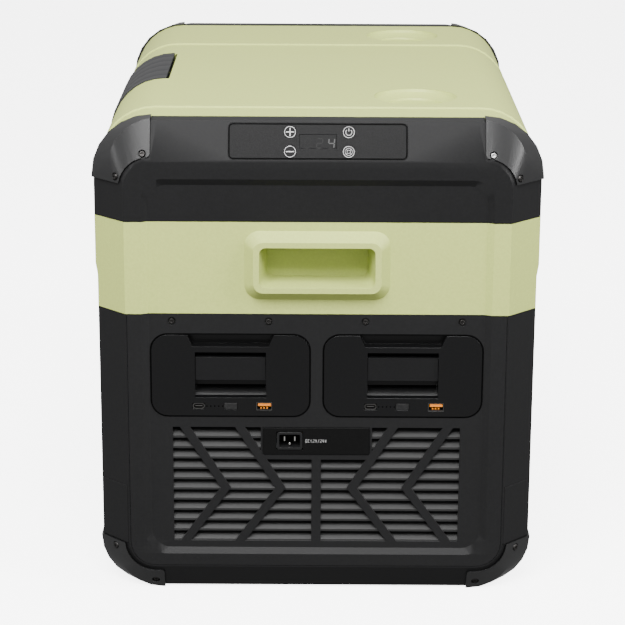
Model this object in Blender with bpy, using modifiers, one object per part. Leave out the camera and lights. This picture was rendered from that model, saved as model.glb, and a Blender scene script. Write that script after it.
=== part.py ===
"""Compressor cooler fridge: a portable fridge with two slide-in batteries.

Metres, +Z up.  X is the width, Y the length and Z the height.  The origin is the middle of the
footprint, on the ground.  The control panel, the batteries and the vents are at the -Y end.
"""

import math

import bmesh
import bpy
from mathutils import Matrix, Vector

# Overall sizes of the cabinet
BODY_LENGTH = 0.570
BODY_WIDTH = 0.411
GUARD_PROUD = 0.0018
BASE_Z = GUARD_PROUD
LOWER_TOP = 0.2757
BAND_TOP = 0.3630
DECK_TOP = 0.4012
SHELL_TOP = 0.4552

# Ends of the cabinet: a flat face, a chamfer down each side, a slanted strip above and below it
CHAMFER = 0.029
STRIP_DEPTH = 0.0125
FACE_TOP = 0.419
FACE_BOTTOM = 0.0255
FACE_RADIUS = 0.025
STRIP_RADIUS = 0.044
SHOULDER_RADIUS = 0.054
FOOT_RADIUS = 0.045
LOWER_STEP = 0.002
BAND_STEP_LOW = LOWER_TOP + 0.0303
BAND_STEP_HIGH = LOWER_TOP + 0.0413

# Walls and clearances
WALL = 0.003
END_WALL = 0.0063
FLOOR = 0.004
SEAM = 0.0004
GAP = 0.0003

# Recess in the end faces
RECESS_MARGIN = 0.0155
RECESS_LOW = 0.0385
RECESS_HIGH = 0.403
RECESS_RADIUS = 0.020
RECESS_SLOPE = 0.006
RECESS_DEPTH = 0.003

# Pocket handles in the band
HANDLE_Z = LOWER_TOP + 0.0463
HANDLE_HALF = 0.0675
HANDLE_HALF_HEIGHT = 0.033
HANDLE_SLOPE = 0.009
HANDLE_RAISE = 0.0105
POCKET_HALF = 0.0535
POCKET_HALF_HEIGHT = 0.019
POCKET_DEPTH = 0.030
POCKET_TAPER = 0.0065
POCKET_WALL = 0.0025

# Front cover with the vent grille
COVER_EDGE = 0.0015
COVER_DEPTH = 0.006
COVER_LEDGE = 0.009
COVER_RAIL = 0.014
GRILLE_HALF = 0.1343
GRILLE_LOW = 0.051
GRILLE_HIGH = 0.165
SLAT_COUNT = 11
SLAT_THICKNESS = 0.0022
SLAT_RUN = 0.0075
SLAT_RISE = 0.62
SLAT_SET_BACK = 0.0042
SLAT_DROP = 0.0008
SLAT_ENDS = 0.002
INLET_BORDER = 0.002
INLET_LOWER_BORDER = 0.0055
CHEVRON_WIDTH = 0.0094
CHEVRON_REACH = 0.038
CHEVRON_TIP_Z = 0.1045
CHEVRON_TIPS = (0.085, 0.0335)
CHEVRON_OVERRUN = 0.003
CENTRE_BAR = 0.0088

# Batteries
BATTERY_WIDTH = 0.1475
BATTERY_HEIGHT = 0.0797
BATTERY_LENGTH = 0.105
BATTERY_LOW = 0.176
BATTERY_RIB = 0.0125
BATTERY_SPACING = BATTERY_WIDTH + BATTERY_RIB
BATTERY_RADIUS = 0.0155
BATTERY_CLEARANCE = 0.0006
BATTERY_SET_BACK = 0.002
BAY_WALL = 0.0025
BOARD_SPACE = 0.0183
PORT_Z = BATTERY_LOW + 0.010
# Offset from the battery's middle, half width, half height and depth of each opening
USB_A = (0.0313, 0.0076, 0.0042, 0.013)
USB_C = (-0.0297, 0.0058, 0.0030, 0.009)
BUTTON = (0.0, 0.0063, 0.0034, 0.005)
NOTCH_TOP_HALF = 0.0405
NOTCH_BOTTOM_HALF = 0.0352
NOTCH_DEPTH = 0.0118
NOTCH_LENGTH = 0.012

# Thumb latch of a battery
LATCH_HALF = 0.0325
LATCH_SIDE_GAP = 0.0004
LATCH_PLATE_SET_BACK = 0.0016
LATCH_PLATE_THICKNESS = 0.003
LATCH_ROOM_LOW = BATTERY_LOW + 0.0184
LATCH_ROOM_HIGH = BATTERY_LOW + 0.0625
LATCH_ROOM_DEPTH = 0.011
LATCH_LOW = BATTERY_LOW + 0.0352
LATCH_AXIS_Z = BATTERY_LOW + 0.0552
LATCH_AXIS_DEPTH = 0.0062
LATCH_BARREL = 0.0024
LATCH_STUB_RADIUS = 0.0012
LATCH_STUB_LENGTH = 0.0015
FINGER_DEPTH = 0.016

# Screws
SCREW_HEAD = 0.0032
SCREW_CROSS = 0.0016
SCREW_CROSS_WIDTH = 0.0007
SCREW_CROSS_DEPTH = 0.0009
SCREW_HEAD_HEIGHT = 0.0018
SCREW_SHANK = 0.0015
SCREW_LENGTH = 0.009
SCREW_CLEARANCE = 0.0003
SCREW_HEAD_ROOM = 0.0006
COVER_SCREW_Z = LOWER_TOP - 0.0074
COVER_SCREW_SEAT = 0.0012
COVER_SCREW_X = (-0.134, -0.0446, 0.0446, 0.134)

# Inlet
INLET_PLATE_HALF = 0.0500
INLET_PLATE_LOW = 0.1385
INLET_PLATE_HIGH = 0.1647
INLET_PLATE_THICKNESS = 0.0018
SOCKET_X = -0.025
SOCKET_Z = 0.1519
SOCKET_WIDTH = 0.0240
SOCKET_HEIGHT = 0.0172
SOCKET_ROOM = 0.001
SOCKET_WALL = 0.0022
SOCKET_DEPTH = 0.014
SOCKET_BACK = 0.009
BLADE_SPACING = 0.0096
BLADE_LENGTH = 0.009

# Control panel on the slanted strip
PANEL_HALF = 0.081
PANEL_HALF_HEIGHT = 0.0165
PANEL_THICKNESS = 0.002
PANEL_LEDGE = 0.0012
PANEL_CAVITY = 0.010
KEY_RADIUS = 0.0056
KEY_TRAVEL = 0.0005
DISPLAY_HALF = 0.0165
DISPLAY_HALF_HEIGHT = 0.0062
KEY_STEM = 0.0016
BOARD_THICKNESS = 0.0016
BOARD_MARGIN = 0.0035

# Corner guards
GUARD_SINK = 0.0015
GUARD_MARGIN = 0.0045
GUARD_BOTTOM_TAIL = 0.0075
GUARD_LOW = 0.3985
GUARD_HIGH = 0.048
GUARD_WRAP = 0.075
GUARD_SCREW_SINK = 0.0009
STRIP_SCREW_SINK = 0.0012
GUARD_CORNER_RADIUS = 0.003
INSERT_TOP = 0.1066
INSERT_THICKNESS = 0.003
INSERT_SIDE_GAP = 0.0015

# Lid
LID_INSET = 0.029
LID_GAP = 0.0006
LID_SIDE_STEP = 0.002
LID_BOTTOM = 0.4030
LID_WALL = 0.0028
LID_ROOF_EXTRA = 0.0006
CHANNEL_DEPTH = 0.0015
CHANNEL_WIDTH = 0.023
CHANNEL_EDGE = 0.0015
FRONT_CHANNEL = 0.053
REAR_CHANNEL = 0.150
CUP_X = 0.0925
FRONT_CUP = 0.127
REAR_CUP = 0.093
CUP_RADIUS = 0.0393
CUP_DEPTH = 0.0085
CUP_WALL = 0.0025
CUP_SHELF = 0.0128
GASKET_WIDTH = 0.010
GASKET_THICKNESS = 0.0032
LINER_SIDE_ROOM = 0.0035
LID_PANEL_THICKNESS = 0.0025
LID_PLUG_DEPTH = 0.012
LID_PLUG_GAP = 0.010

# Lid latch on the -X shoulder
LEVER_WIDTH = 0.140
LEVER_FLAT = 0.0012
LEVER_THICKNESS = 0.0055
LEVER_PROUD = 0.0008
LEVER_BOTTOM = 0.374
LEVER_SIDE_GAP = 0.001
LEVER_TOP_GAP = 0.003
LEVER_UNDER_GAP = 0.0011
LEVER_POCKET_WALL = 0.003
LEVER_GROOVE_MARGIN = 0.012
LEVER_GROOVES = 5
LEVER_GROOVE_DEPTH = 0.0007
LATCH_PIN_RADIUS = 0.0010
LATCH_PIN_INSET = 0.0022
LATCH_PIN_DROP = 0.0003
LATCH_PIN_OVERRUN = 0.003

# Hinges on the +X side
HINGE_X = BODY_WIDTH / 2 - LID_SIDE_STEP
HINGE_Z = 0.4020
HINGE_LENGTH = 0.054
HINGES_Y = (-0.150, 0.150)
KNUCKLE_RADIUS = 0.0038
HINGE_PIN_RADIUS = 0.0014
KNUCKLE_ROOM = 0.0008
KNUCKLE_TAB = 0.010

# Food compartment and insulation
INSULATION = 0.0555
LINER_WALL = 0.002
LINER_FLANGE = 0.018
LINER_FLANGE_THICKNESS = 0.0015
LINER_RADIUS = 0.018
LINER_END_MARGIN = 0.048
MACHINE_ROOM_LENGTH = 0.172
STEP_WALL = 0.038
LINER_STEP_Z = 0.292
STEP_FLOOR = 0.009
LINER_FLOOR_Z = 0.055
EVAPORATOR_THICKNESS = 0.0015
EVAPORATOR_MARGIN = 0.030
FOAM_GAP = 0.0005

# Cooling machinery
CONDENSER_X = (-0.128, -0.018)
CONDENSER_Z = (0.032, 0.142)
CONDENSER_DEPTH = 0.024
CONDENSER_FINS = 12
FIN_THICKNESS = 0.0016
FAN_SIZE = 0.110
FAN_DEPTH = 0.025
FAN_BLADES = 7
FAN_HUB = 0.019
FAN_SHAFT = 0.0025
FAN_HUB_THICKNESS = 0.0036
FAN_TIP_GAP = 0.0027
COMPRESSOR_X = 0.088
COMPRESSOR_RADIUS = 0.054
COMPRESSOR_HEIGHT = 0.128
COMPRESSOR_LIFT = 0.006
SUCTION_RADIUS = 0.003
DISCHARGE_RADIUS = 0.0025

HALF_L = BODY_LENGTH / 2
HALF_W = BODY_WIDTH / 2
STRIP_SLANT = math.atan(STRIP_DEPTH / (SHELL_TOP - FACE_TOP))
FACE_HALF = HALF_W - CHAMFER
RECESS_HALF = FACE_HALF - RECESS_MARGIN
LINER_HALF = HALF_W - INSULATION
GUARD_INNER_TOP = FACE_HALF - FACE_RADIUS
GUARD_INNER_BOTTOM = GUARD_INNER_TOP - GUARD_BOTTOM_TAIL
LEVER_INNER_X = HALF_W - SHOULDER_RADIUS - LEVER_FLAT
LID_HALF = HALF_W - LID_SIDE_STEP
FRONT = -HALF_L
LID_FRONT = FRONT + LID_INSET + LID_GAP
BATTERY_FRONT = FRONT + BATTERY_SET_BACK
BATTERY_BACK = FRONT + COVER_DEPTH + BATTERY_LENGTH
COVER_SCREW_Y = FRONT + RECESS_DEPTH + COVER_SCREW_SEAT
INLET_SEAT = FRONT + RECESS_DEPTH + INLET_PLATE_THICKNESS / 2
FOAM_FRONT_Y = FRONT + MACHINE_ROOM_LENGTH
FOAM_STEP_Z = LINER_STEP_Z - STEP_FLOOR
LINER_STEP_Y = FOAM_FRONT_Y + STEP_WALL
LINER_END = HALF_L - LINER_END_MARGIN
GASKET_LOW = DECK_TOP + GAP + LINER_FLANGE_THICKNESS + GAP
LID_PANEL_LOW = GASKET_LOW + GASKET_THICKNESS + GAP
LEVER_ROOM_DEPTH = LEVER_THICKNESS - LEVER_PROUD + LEVER_UNDER_GAP
LATCH_PIN_X = -LEVER_INNER_X - LATCH_PIN_INSET
LATCH_PIN_Z = SHELL_TOP + LEVER_PROUD - LEVER_THICKNESS / 2 - LATCH_PIN_DROP
LATCH_WALL_DEPTH = LEVER_ROOM_DEPTH + LID_WALL + LID_ROOF_EXTRA
CHANNELS = ((FRONT + FRONT_CHANNEL, FRONT + FRONT_CHANNEL + CHANNEL_WIDTH),
            (HALF_L - REAR_CHANNEL - CHANNEL_WIDTH, HALF_L - REAR_CHANNEL))
CUPS = ((CUP_X, FRONT + FRONT_CUP), (CUP_X, HALF_L - REAR_CUP))
ARC_STEPS = 6


# ---------------------------------------------------------------- modelling helpers

for old in list(bpy.data.objects):
    bpy.data.objects.remove(old)

fridge = bpy.data.collections.new("compressor_fridge")
bpy.context.scene.collection.children.link(fridge)


def add_object(name, mesh):
    """Put a mesh in the scene as an object."""
    obj = bpy.data.objects.new(name, mesh)
    fridge.objects.link(obj)
    return obj


def face_outward(bm):
    """Make all faces point out of the solid."""
    bmesh.ops.recalc_face_normals(bm, faces=bm.faces)
    if bm.calc_volume(signed=True) < 0:
        bmesh.ops.reverse_faces(bm, faces=bm.faces)


def from_bmesh(bm, name="solid"):
    """Turn a bmesh into an object with its faces pointing out."""
    face_outward(bm)
    mesh = bpy.data.meshes.new(name)
    bm.to_mesh(mesh)
    bm.free()
    return add_object(name, mesh)


def evaluated_mesh(obj):
    """The mesh of an object with its modifiers or curve settings applied."""
    bpy.context.view_layer.update()
    graph = bpy.context.evaluated_depsgraph_get()
    return bpy.data.meshes.new_from_object(obj.evaluated_get(graph))


def combine(target, tool, operation):
    """Apply one Boolean to target and remove the tool."""
    modifier = target.modifiers.new("boolean", "BOOLEAN")
    modifier.operation = operation
    modifier.solver = "EXACT"
    modifier.object = tool
    baked = evaluated_mesh(target)
    target.modifiers.clear()
    target.data = baked
    bpy.data.objects.remove(tool)
    return target


def cut(target, *tools):
    """Subtract each tool from target."""
    for tool in tools:
        combine(target, tool, "DIFFERENCE")
    return target


def join(target, *tools):
    """Unite each tool with target."""
    for tool in tools:
        combine(target, tool, "UNION")
    return target


def common(target, tool):
    """Keep what target shares with the tool."""
    return combine(target, tool, "INTERSECT")


def duplicate(obj):
    """A copy of an object with its own mesh."""
    return add_object(obj.name + "_copy", obj.data.copy())


def block(low, high):
    """A box between two corners."""
    low, high = Vector(low), Vector(high)
    bm = bmesh.new()
    bmesh.ops.create_cube(bm, size=1.0)
    bmesh.ops.scale(bm, vec=high - low, verts=bm.verts)
    bmesh.ops.translate(bm, vec=(low + high) / 2, verts=bm.verts)
    return from_bmesh(bm)


def rod(start, end, radius, segments=20, end_radius=None):
    """A cylinder or cone from one point to another."""
    start, end = Vector(start), Vector(end)
    along = end - start
    bm = bmesh.new()
    bmesh.ops.create_cone(
        bm, cap_ends=True, segments=segments, radius1=radius,
        radius2=radius if end_radius is None else end_radius, depth=along.length)
    turn = along.to_track_quat("Z", "Y").to_matrix().to_4x4()
    bmesh.ops.transform(bm, matrix=Matrix.Translation((start + end) / 2) @ turn, verts=bm.verts)
    return from_bmesh(bm)


def loft(rings):
    """A closed solid through rings of equal point counts."""
    bm = bmesh.new()
    rows = [[bm.verts.new(point) for point in ring] for ring in rings]
    count = len(rings[0])
    for row, following in zip(rows, rows[1:]):
        for i in range(count):
            j = (i + 1) % count
            bm.faces.new((row[i], row[j], following[j], following[i]))
    bm.faces.new(rows[0])
    bm.faces.new(rows[-1])
    return from_bmesh(bm)


def arc(centre, radius, start, end, steps=ARC_STEPS):
    """Points along an arc, angles in degrees, in a plane's own two directions."""
    angles = [math.radians(start + (end - start) * i / steps) for i in range(steps + 1)]
    return [(centre[0] + radius * math.cos(a), centre[1] + radius * math.sin(a)) for a in angles]


def rounded_box_outline(half, low, high, low_radius, high_radius, steps=ARC_STEPS):
    """A rectangle about the second axis, with its lower and upper corners rounded."""
    points = []
    corners = ((half, high, high_radius, 0), (-half, high, high_radius, 90),
               (-half, low, low_radius, 180), (half, low, low_radius, 270))
    for x, z, radius, start in corners:
        if radius == 0:
            points.append((x, z))
            continue
        centre = (x - math.copysign(radius, x), z - radius if z == high else z + radius)
        points += arc(centre, radius, start, start + 90, steps)
    return points


def fillet(outline, radii, steps=4):
    """Round the corners of an outline; radii holds one radius for each point."""
    points = []
    for i, corner in enumerate(outline):
        if radii[i] == 0:
            points.append(corner)
            continue
        here = Vector(corner)
        before = (Vector(outline[i - 1]) - here).normalized()
        after = (Vector(outline[(i + 1) % len(outline)]) - here).normalized()
        half_angle = before.angle(after) / 2
        reach = radii[i] / math.tan(half_angle)
        centre = here + (before + after).normalized() * radii[i] / math.sin(half_angle)
        first = here + before * reach - centre
        sweep = (here + after * reach - centre).angle_signed(first)
        for k in range(steps + 1):
            turn = Matrix.Rotation(sweep * k / steps, 2)
            points.append(tuple(centre + turn @ first))
    return points


def prism(outline, axis, start, end, holes=()):
    """A flat outline with a thickness along one axis.

    Outlines are (x, y) for axis Z, (x, z) for axis Y and (y, z) for axis X.
    """
    curve = bpy.data.curves.new("outline", "CURVE")
    curve.dimensions = "2D"
    curve.fill_mode = "BOTH"
    curve.extrude = abs(end - start) / 2
    for loop in (outline, *holes):
        spline = curve.splines.new("POLY")
        spline.points.add(len(loop) - 1)
        for point, (u, v) in zip(spline.points, loop):
            point.co = (u, v, 0, 1)
        spline.use_cyclic_u = True
    flat = add_object("outline", curve)
    mesh = evaluated_mesh(flat)
    bpy.data.objects.remove(flat)
    middle = (start + end) / 2
    place = {
        "Z": Matrix.Translation((0, 0, middle)),
        "Y": Matrix.Translation((0, middle, 0)) @ Matrix.Rotation(math.pi / 2, 4, "X"),
        "X": Matrix.Translation((middle, 0, 0))
             @ Matrix(((0, 0, 1, 0), (1, 0, 0, 0), (0, 1, 0, 0), (0, 0, 0, 1))),
    }[axis]
    bm = bmesh.new()
    bm.from_mesh(mesh)
    bmesh.ops.remove_doubles(bm, verts=bm.verts, dist=1e-6)
    bmesh.ops.transform(bm, matrix=place, verts=bm.verts)
    return from_bmesh(bm)


def turned(profile, place, steps=32):
    """A profile of (radius, height) points turned about Z, then placed."""
    mesh = bpy.data.meshes.new("profile")
    mesh.from_pydata([(r, 0, z) for r, z in profile], [(i, i + 1) for i in range(len(profile) - 1)], [])
    obj = add_object("profile", mesh)
    screw = obj.modifiers.new("turn", "SCREW")
    screw.steps = screw.render_steps = steps
    screw.use_merge_vertices = True
    screw.merge_threshold = 0.00001
    baked = evaluated_mesh(obj)
    bpy.data.objects.remove(obj)
    bm = bmesh.new()
    bm.from_mesh(baked)
    bmesh.ops.remove_doubles(bm, verts=bm.verts, dist=1e-6)
    bmesh.ops.transform(bm, matrix=place, verts=bm.verts)
    return from_bmesh(bm)


def tube(points, radius):
    """A round bar through points, with capped ends."""
    curve = bpy.data.curves.new("tube", "CURVE")
    curve.dimensions = "3D"
    curve.bevel_depth = radius
    curve.bevel_resolution = 2
    curve.use_fill_caps = True
    spline = curve.splines.new("POLY")
    spline.points.add(len(points) - 1)
    for point, co in zip(spline.points, points):
        point.co = (*co, 1)
    obj = add_object("tube", curve)
    mesh = evaluated_mesh(obj)
    bpy.data.objects.remove(obj)
    bm = bmesh.new()
    bm.from_mesh(mesh)
    bmesh.ops.remove_doubles(bm, verts=bm.verts, dist=1e-6)
    return from_bmesh(bm)


def smooth_path(points, steps=5):
    """A smooth curve through hand-set points (Catmull-Rom)."""
    knots = [Vector(p) for p in points]
    knots = [2 * knots[0] - knots[1], *knots, 2 * knots[-1] - knots[-2]]
    path = []
    for a, b, c, d in zip(knots, knots[1:], knots[2:], knots[3:]):
        for k in range(steps):
            t = k / steps
            path.append(0.5 * (2 * b + (c - a) * t + (2 * a - 5 * b + 4 * c - d) * t ** 2
                               + (3 * b - a - 3 * c + d) * t ** 3))
    return path + [knots[-2]]


def clip(obj, point, normal):
    """Cut off what lies beyond a plane and close the cut."""
    bm = bmesh.new()
    bm.from_mesh(obj.data)
    geometry = list(bm.verts) + list(bm.edges) + list(bm.faces)
    bmesh.ops.bisect_plane(
        bm, geom=geometry, dist=1e-7, plane_co=point, plane_no=normal, clear_outer=True)
    rim = [edge for edge in bm.edges if edge.is_boundary]
    bmesh.ops.holes_fill(bm, edges=rim)
    face_outward(bm)
    bm.to_mesh(obj.data)
    bm.free()
    return obj


def flip(obj, signs):
    """Reflect an object in place."""
    bm = bmesh.new()
    bm.from_mesh(obj.data)
    bmesh.ops.scale(bm, vec=signs, verts=bm.verts)
    face_outward(bm)
    bm.to_mesh(obj.data)
    bm.free()
    return obj


def moved(obj, offset=(0, 0, 0), matrix=None):
    """Move an object's mesh."""
    obj.data.transform(matrix if matrix is not None else Matrix.Translation(offset))
    return obj


MATERIALS = {
    "black_plastic": ((0.035, 0.035, 0.036), 0.55, 0.0),
    "gloss_black": ((0.016, 0.016, 0.017), 0.32, 0.0),
    "green_plastic": ((0.58, 0.61, 0.33), 0.55, 0.0),
    "grey_plastic": ((0.17, 0.17, 0.18), 0.5, 0.0),
    "white_plastic": ((0.8, 0.8, 0.78), 0.4, 0.0),
    "foam": ((0.82, 0.74, 0.5), 0.9, 0.0),
    "rubber": ((0.03, 0.03, 0.03), 0.8, 0.0),
    "steel": ((0.55, 0.55, 0.56), 0.35, 1.0),
    "dark_steel": ((0.09, 0.09, 0.09), 0.4, 1.0),
    "aluminium": ((0.75, 0.76, 0.77), 0.35, 1.0),
    "copper": ((0.72, 0.38, 0.24), 0.3, 1.0),
    "black_enamel": ((0.02, 0.02, 0.02), 0.3, 0.0),
    "circuit": ((0.03, 0.16, 0.07), 0.5, 0.0),
    "orange_plastic": ((0.85, 0.33, 0.04), 0.4, 0.0),
}


def material(name):
    """The named material, made when it is first asked for."""
    if name in bpy.data.materials:
        return bpy.data.materials[name]
    colour, roughness, metallic = MATERIALS[name]
    made = bpy.data.materials.new(name)
    made.use_nodes = True
    shader = made.node_tree.nodes["Principled BSDF"]
    shader.inputs["Base Color"].default_value = (*colour, 1)
    shader.inputs["Roughness"].default_value = roughness
    shader.inputs["Metallic"].default_value = metallic
    return made


def finish(obj, name, material_name, origin=(0, 0, 0)):
    """Name a finished piece, give it its material and put its origin on a point."""
    obj.name = name
    obj.data.name = name
    obj.data.materials.clear()
    obj.data.materials.append(material(material_name))
    bm = bmesh.new()
    bm.from_mesh(obj.data)
    bmesh.ops.remove_doubles(bm, verts=bm.verts, dist=1e-6)
    bmesh.ops.translate(bm, vec=-Vector(origin), verts=bm.verts)
    bm.to_mesh(obj.data)
    bm.free()
    for polygon in obj.data.polygons:
        polygon.material_index = 0
    obj.data.shade_smooth()
    obj.data.set_sharp_from_angle(angle=math.radians(30))
    obj.location = origin
    return obj


# ---------------------------------------------------------------- the cabinet's outer form

def envelope(half_width, chamfer, offset=0.0):
    """The whole cabinet's outer form, grown or shrunk by offset."""
    face_half = half_width - chamfer
    stations = (
        (HALF_L + offset, face_half + 0.414 * offset,
         FACE_TOP + 0.17 * offset, FACE_RADIUS, FACE_BOTTOM - 0.17 * offset, FACE_RADIUS),
        (HALF_L - STRIP_DEPTH + 0.7 * offset, face_half + STRIP_DEPTH + 0.714 * offset,
         SHELL_TOP + offset, STRIP_RADIUS, BASE_Z - offset, STRIP_RADIUS),
        (HALF_L - chamfer + 0.414 * offset, half_width + offset,
         SHELL_TOP + offset, SHOULDER_RADIUS + offset, BASE_Z - offset, FOOT_RADIUS + offset),
    )
    rings = []
    for sign in (-1, 1):
        for y, half, high, high_radius, low, low_radius in stations[::-sign]:
            outline = rounded_box_outline(half, low, high, low_radius, high_radius)
            rings.append([(x, sign * y, z) for x, z in outline])
    return loft(rings)


def upper_envelope(offset=0.0):
    return envelope(HALF_W, CHAMFER, offset)


def lower_envelope(offset=0.0):
    return envelope(HALF_W - LOWER_STEP, CHAMFER - LOWER_STEP, offset)


def end_recess(sign):
    """The shallow recess in an end face, as a solid to cut with; sign -1 is the front."""
    rings = []
    for depth, inset in ((-RECESS_DEPTH, -RECESS_SLOPE), (RECESS_DEPTH, RECESS_SLOPE)):
        outline = rounded_box_outline(
            RECESS_HALF - inset, RECESS_LOW + inset, RECESS_HIGH - inset,
            RECESS_RADIUS - inset / 2, RECESS_RADIUS - inset / 2, 6)
        rings.append([(x, sign * (HALF_L - depth), z) for x, z in outline])
    return loft(rings)


def plan_outline(half_width, chamfer, end_inset=0.0, side_inset=0.0):
    """The cabinet seen from above: a rectangle with chamfered corners."""
    half, end = half_width - side_inset, HALF_L - end_inset
    side = HALF_L - chamfer - side_inset * 0.414
    face = half - (end - side)
    return [(face, -end), (half, -side), (half, side), (face, end),
            (-face, end), (-half, side), (-half, -side), (-face, -end)]


# ---------------------------------------------------------------- front cover and vent grille

def cover_outline(inset=0.0):
    """The service cover seen from the front."""
    return rounded_box_outline(
        FACE_HALF - COVER_EDGE - inset, FACE_BOTTOM + COVER_EDGE + inset, LOWER_TOP - SEAM,
        FACE_RADIUS - COVER_EDGE - inset / 2, 0)


def battery_outline(side, shrink=0.0):
    """One battery's rounded rectangle seen from the front."""
    middle = side * BATTERY_SPACING / 2
    outline = rounded_box_outline(
        BATTERY_WIDTH / 2 - shrink, BATTERY_LOW + shrink, BATTERY_LOW + BATTERY_HEIGHT - shrink,
        BATTERY_RADIUS - shrink, BATTERY_RADIUS - shrink, 6)
    return [(x + middle, z) for x, z in outline]


def chevron(tip_x):
    """One bent bar of the grille, as a front outline; its tip points at the middle."""
    side = math.copysign(1, tip_x)
    near, far = tip_x - side * CHEVRON_WIDTH / 2, tip_x + side * CHEVRON_WIDTH / 2
    upper_lean = side * CHEVRON_REACH / (GRILLE_HIGH - CHEVRON_TIP_Z)
    lower_lean = side * CHEVRON_REACH / (CHEVRON_TIP_Z - GRILLE_LOW)
    rise = GRILLE_HIGH - CHEVRON_TIP_Z + CHEVRON_OVERRUN
    fall = CHEVRON_TIP_Z - GRILLE_LOW + CHEVRON_OVERRUN
    top, bottom = CHEVRON_TIP_Z + rise, CHEVRON_TIP_Z - fall
    return [(near + upper_lean * rise, top), (near, CHEVRON_TIP_Z), (near + lower_lean * fall, bottom),
            (far + lower_lean * fall, bottom), (far, CHEVRON_TIP_Z), (far + upper_lean * rise, top)]


def louvre_windows():
    """The openings of the vent: one wide field cut by the chevrons, the middle bar and the inlet."""
    face = FRONT
    windows = block((-GRILLE_HALF, face - 0.005, GRILLE_LOW), (GRILLE_HALF, face + 0.02, GRILLE_HIGH))
    for tip in CHEVRON_TIPS:
        for side in (-1, 1):
            cut(windows, prism(chevron(side * tip), "Y", face - 0.01, face + 0.03))
    border = INLET_PLATE_HALF + INLET_BORDER
    return cut(
        windows,
        block((-CENTRE_BAR / 2, face - 0.01, 0), (CENTRE_BAR / 2, face + 0.03, LOWER_TOP)),
        block((-border, face - 0.01, INLET_PLATE_LOW - INLET_LOWER_BORDER),
              (border, face + 0.03, LOWER_TOP)))


def louvre_slats():
    """The sloping slats behind the windows."""
    pitch = (GRILLE_HIGH - GRILLE_LOW) / SLAT_COUNT
    rise = SLAT_RISE * pitch
    front, back = FRONT + SLAT_SET_BACK, FRONT + SLAT_SET_BACK + SLAT_RUN
    half = GRILLE_HALF + SLAT_ENDS
    for row in range(SLAT_COUNT):
        low = GRILLE_LOW - SLAT_DROP + row * pitch
        section = [(front, low), (front, low + SLAT_THICKNESS),
                   (back, low + rise + SLAT_THICKNESS), (back, low + rise)]
        yield prism(section, "X", -half, half)


def make_front_cover():
    """The screwed-on cover with the vent, the battery openings and the inlet's seat."""
    face = FRONT
    cover = prism(cover_outline(), "Y", face, face + COVER_DEPTH)
    cut(cover, end_recess(-1), louvre_windows())
    join(cover, *louvre_slats())
    half, half_height = SOCKET_WIDTH / 2 + SOCKET_ROOM, SOCKET_HEIGHT / 2 + SOCKET_ROOM
    cut(cover,
        block((SOCKET_X - half, face, SOCKET_Z - half_height),
              (SOCKET_X + half, face + 0.03, SOCKET_Z + half_height)),
        block((-INLET_PLATE_HALF - GAP, face - 0.001, INLET_PLATE_LOW - GAP),
              (INLET_PLATE_HALF + GAP, INLET_SEAT, INLET_PLATE_HIGH + GAP)))
    for side in (-1, 1):
        cut(cover, prism(battery_outline(side), "Y", face - 0.01, face + 0.03))
    for x in COVER_SCREW_X:
        screw_holes(cover, (x, COVER_SCREW_Y, COVER_SCREW_Z), (0, 1, 0))
    finish(cover, "front_cover", "black_plastic")


def screw(name, seat, direction):
    """A pan-head screw whose head bears on seat and whose shank runs along direction."""
    seat, direction = Vector(seat), Vector(direction).normalized()
    under = seat - direction * SCREW_CLEARANCE
    head_top = under - direction * SCREW_HEAD_HEIGHT
    body = rod(under, head_top, SCREW_HEAD, 12, SCREW_HEAD * 0.75)
    overlap = direction * SCREW_HEAD_HEIGHT / 3
    join(body, rod(under - overlap, under + direction * SCREW_LENGTH, SCREW_SHANK, 8))
    turn = direction.to_track_quat("Z", "Y").to_matrix().to_4x4()
    place = Matrix.Translation(head_top) @ turn
    long, short = SCREW_CROSS, SCREW_CROSS_WIDTH / 2
    for half_x, half_y in ((long, short), (short, long)):
        slot = block((-half_x, -half_y, -SCREW_CROSS_DEPTH), (half_x, half_y, SCREW_CROSS_DEPTH))
        cut(body, moved(slot, matrix=place))
    finish(body, name, "dark_steel", tuple(seat))


def screw_holes(target, seat, direction, clear_head=True):
    """Cut the holes that one screw needs through a piece."""
    seat, direction = Vector(seat), Vector(direction).normalized()
    outside = seat - direction * 0.01
    if clear_head:
        cut(target, rod(seat, outside, SCREW_HEAD + SCREW_HEAD_ROOM, 14))
    reach = direction * (SCREW_LENGTH + 0.002)
    cut(target, rod(outside, seat + reach, SCREW_SHANK + SCREW_CLEARANCE, 8))


def make_cover_screws():
    for number, x in enumerate(COVER_SCREW_X, 1):
        screw(f"cover_screw_{number}", (x, COVER_SCREW_Y, COVER_SCREW_Z), (0, 1, 0))


# ---------------------------------------------------------------- corner guards

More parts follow.
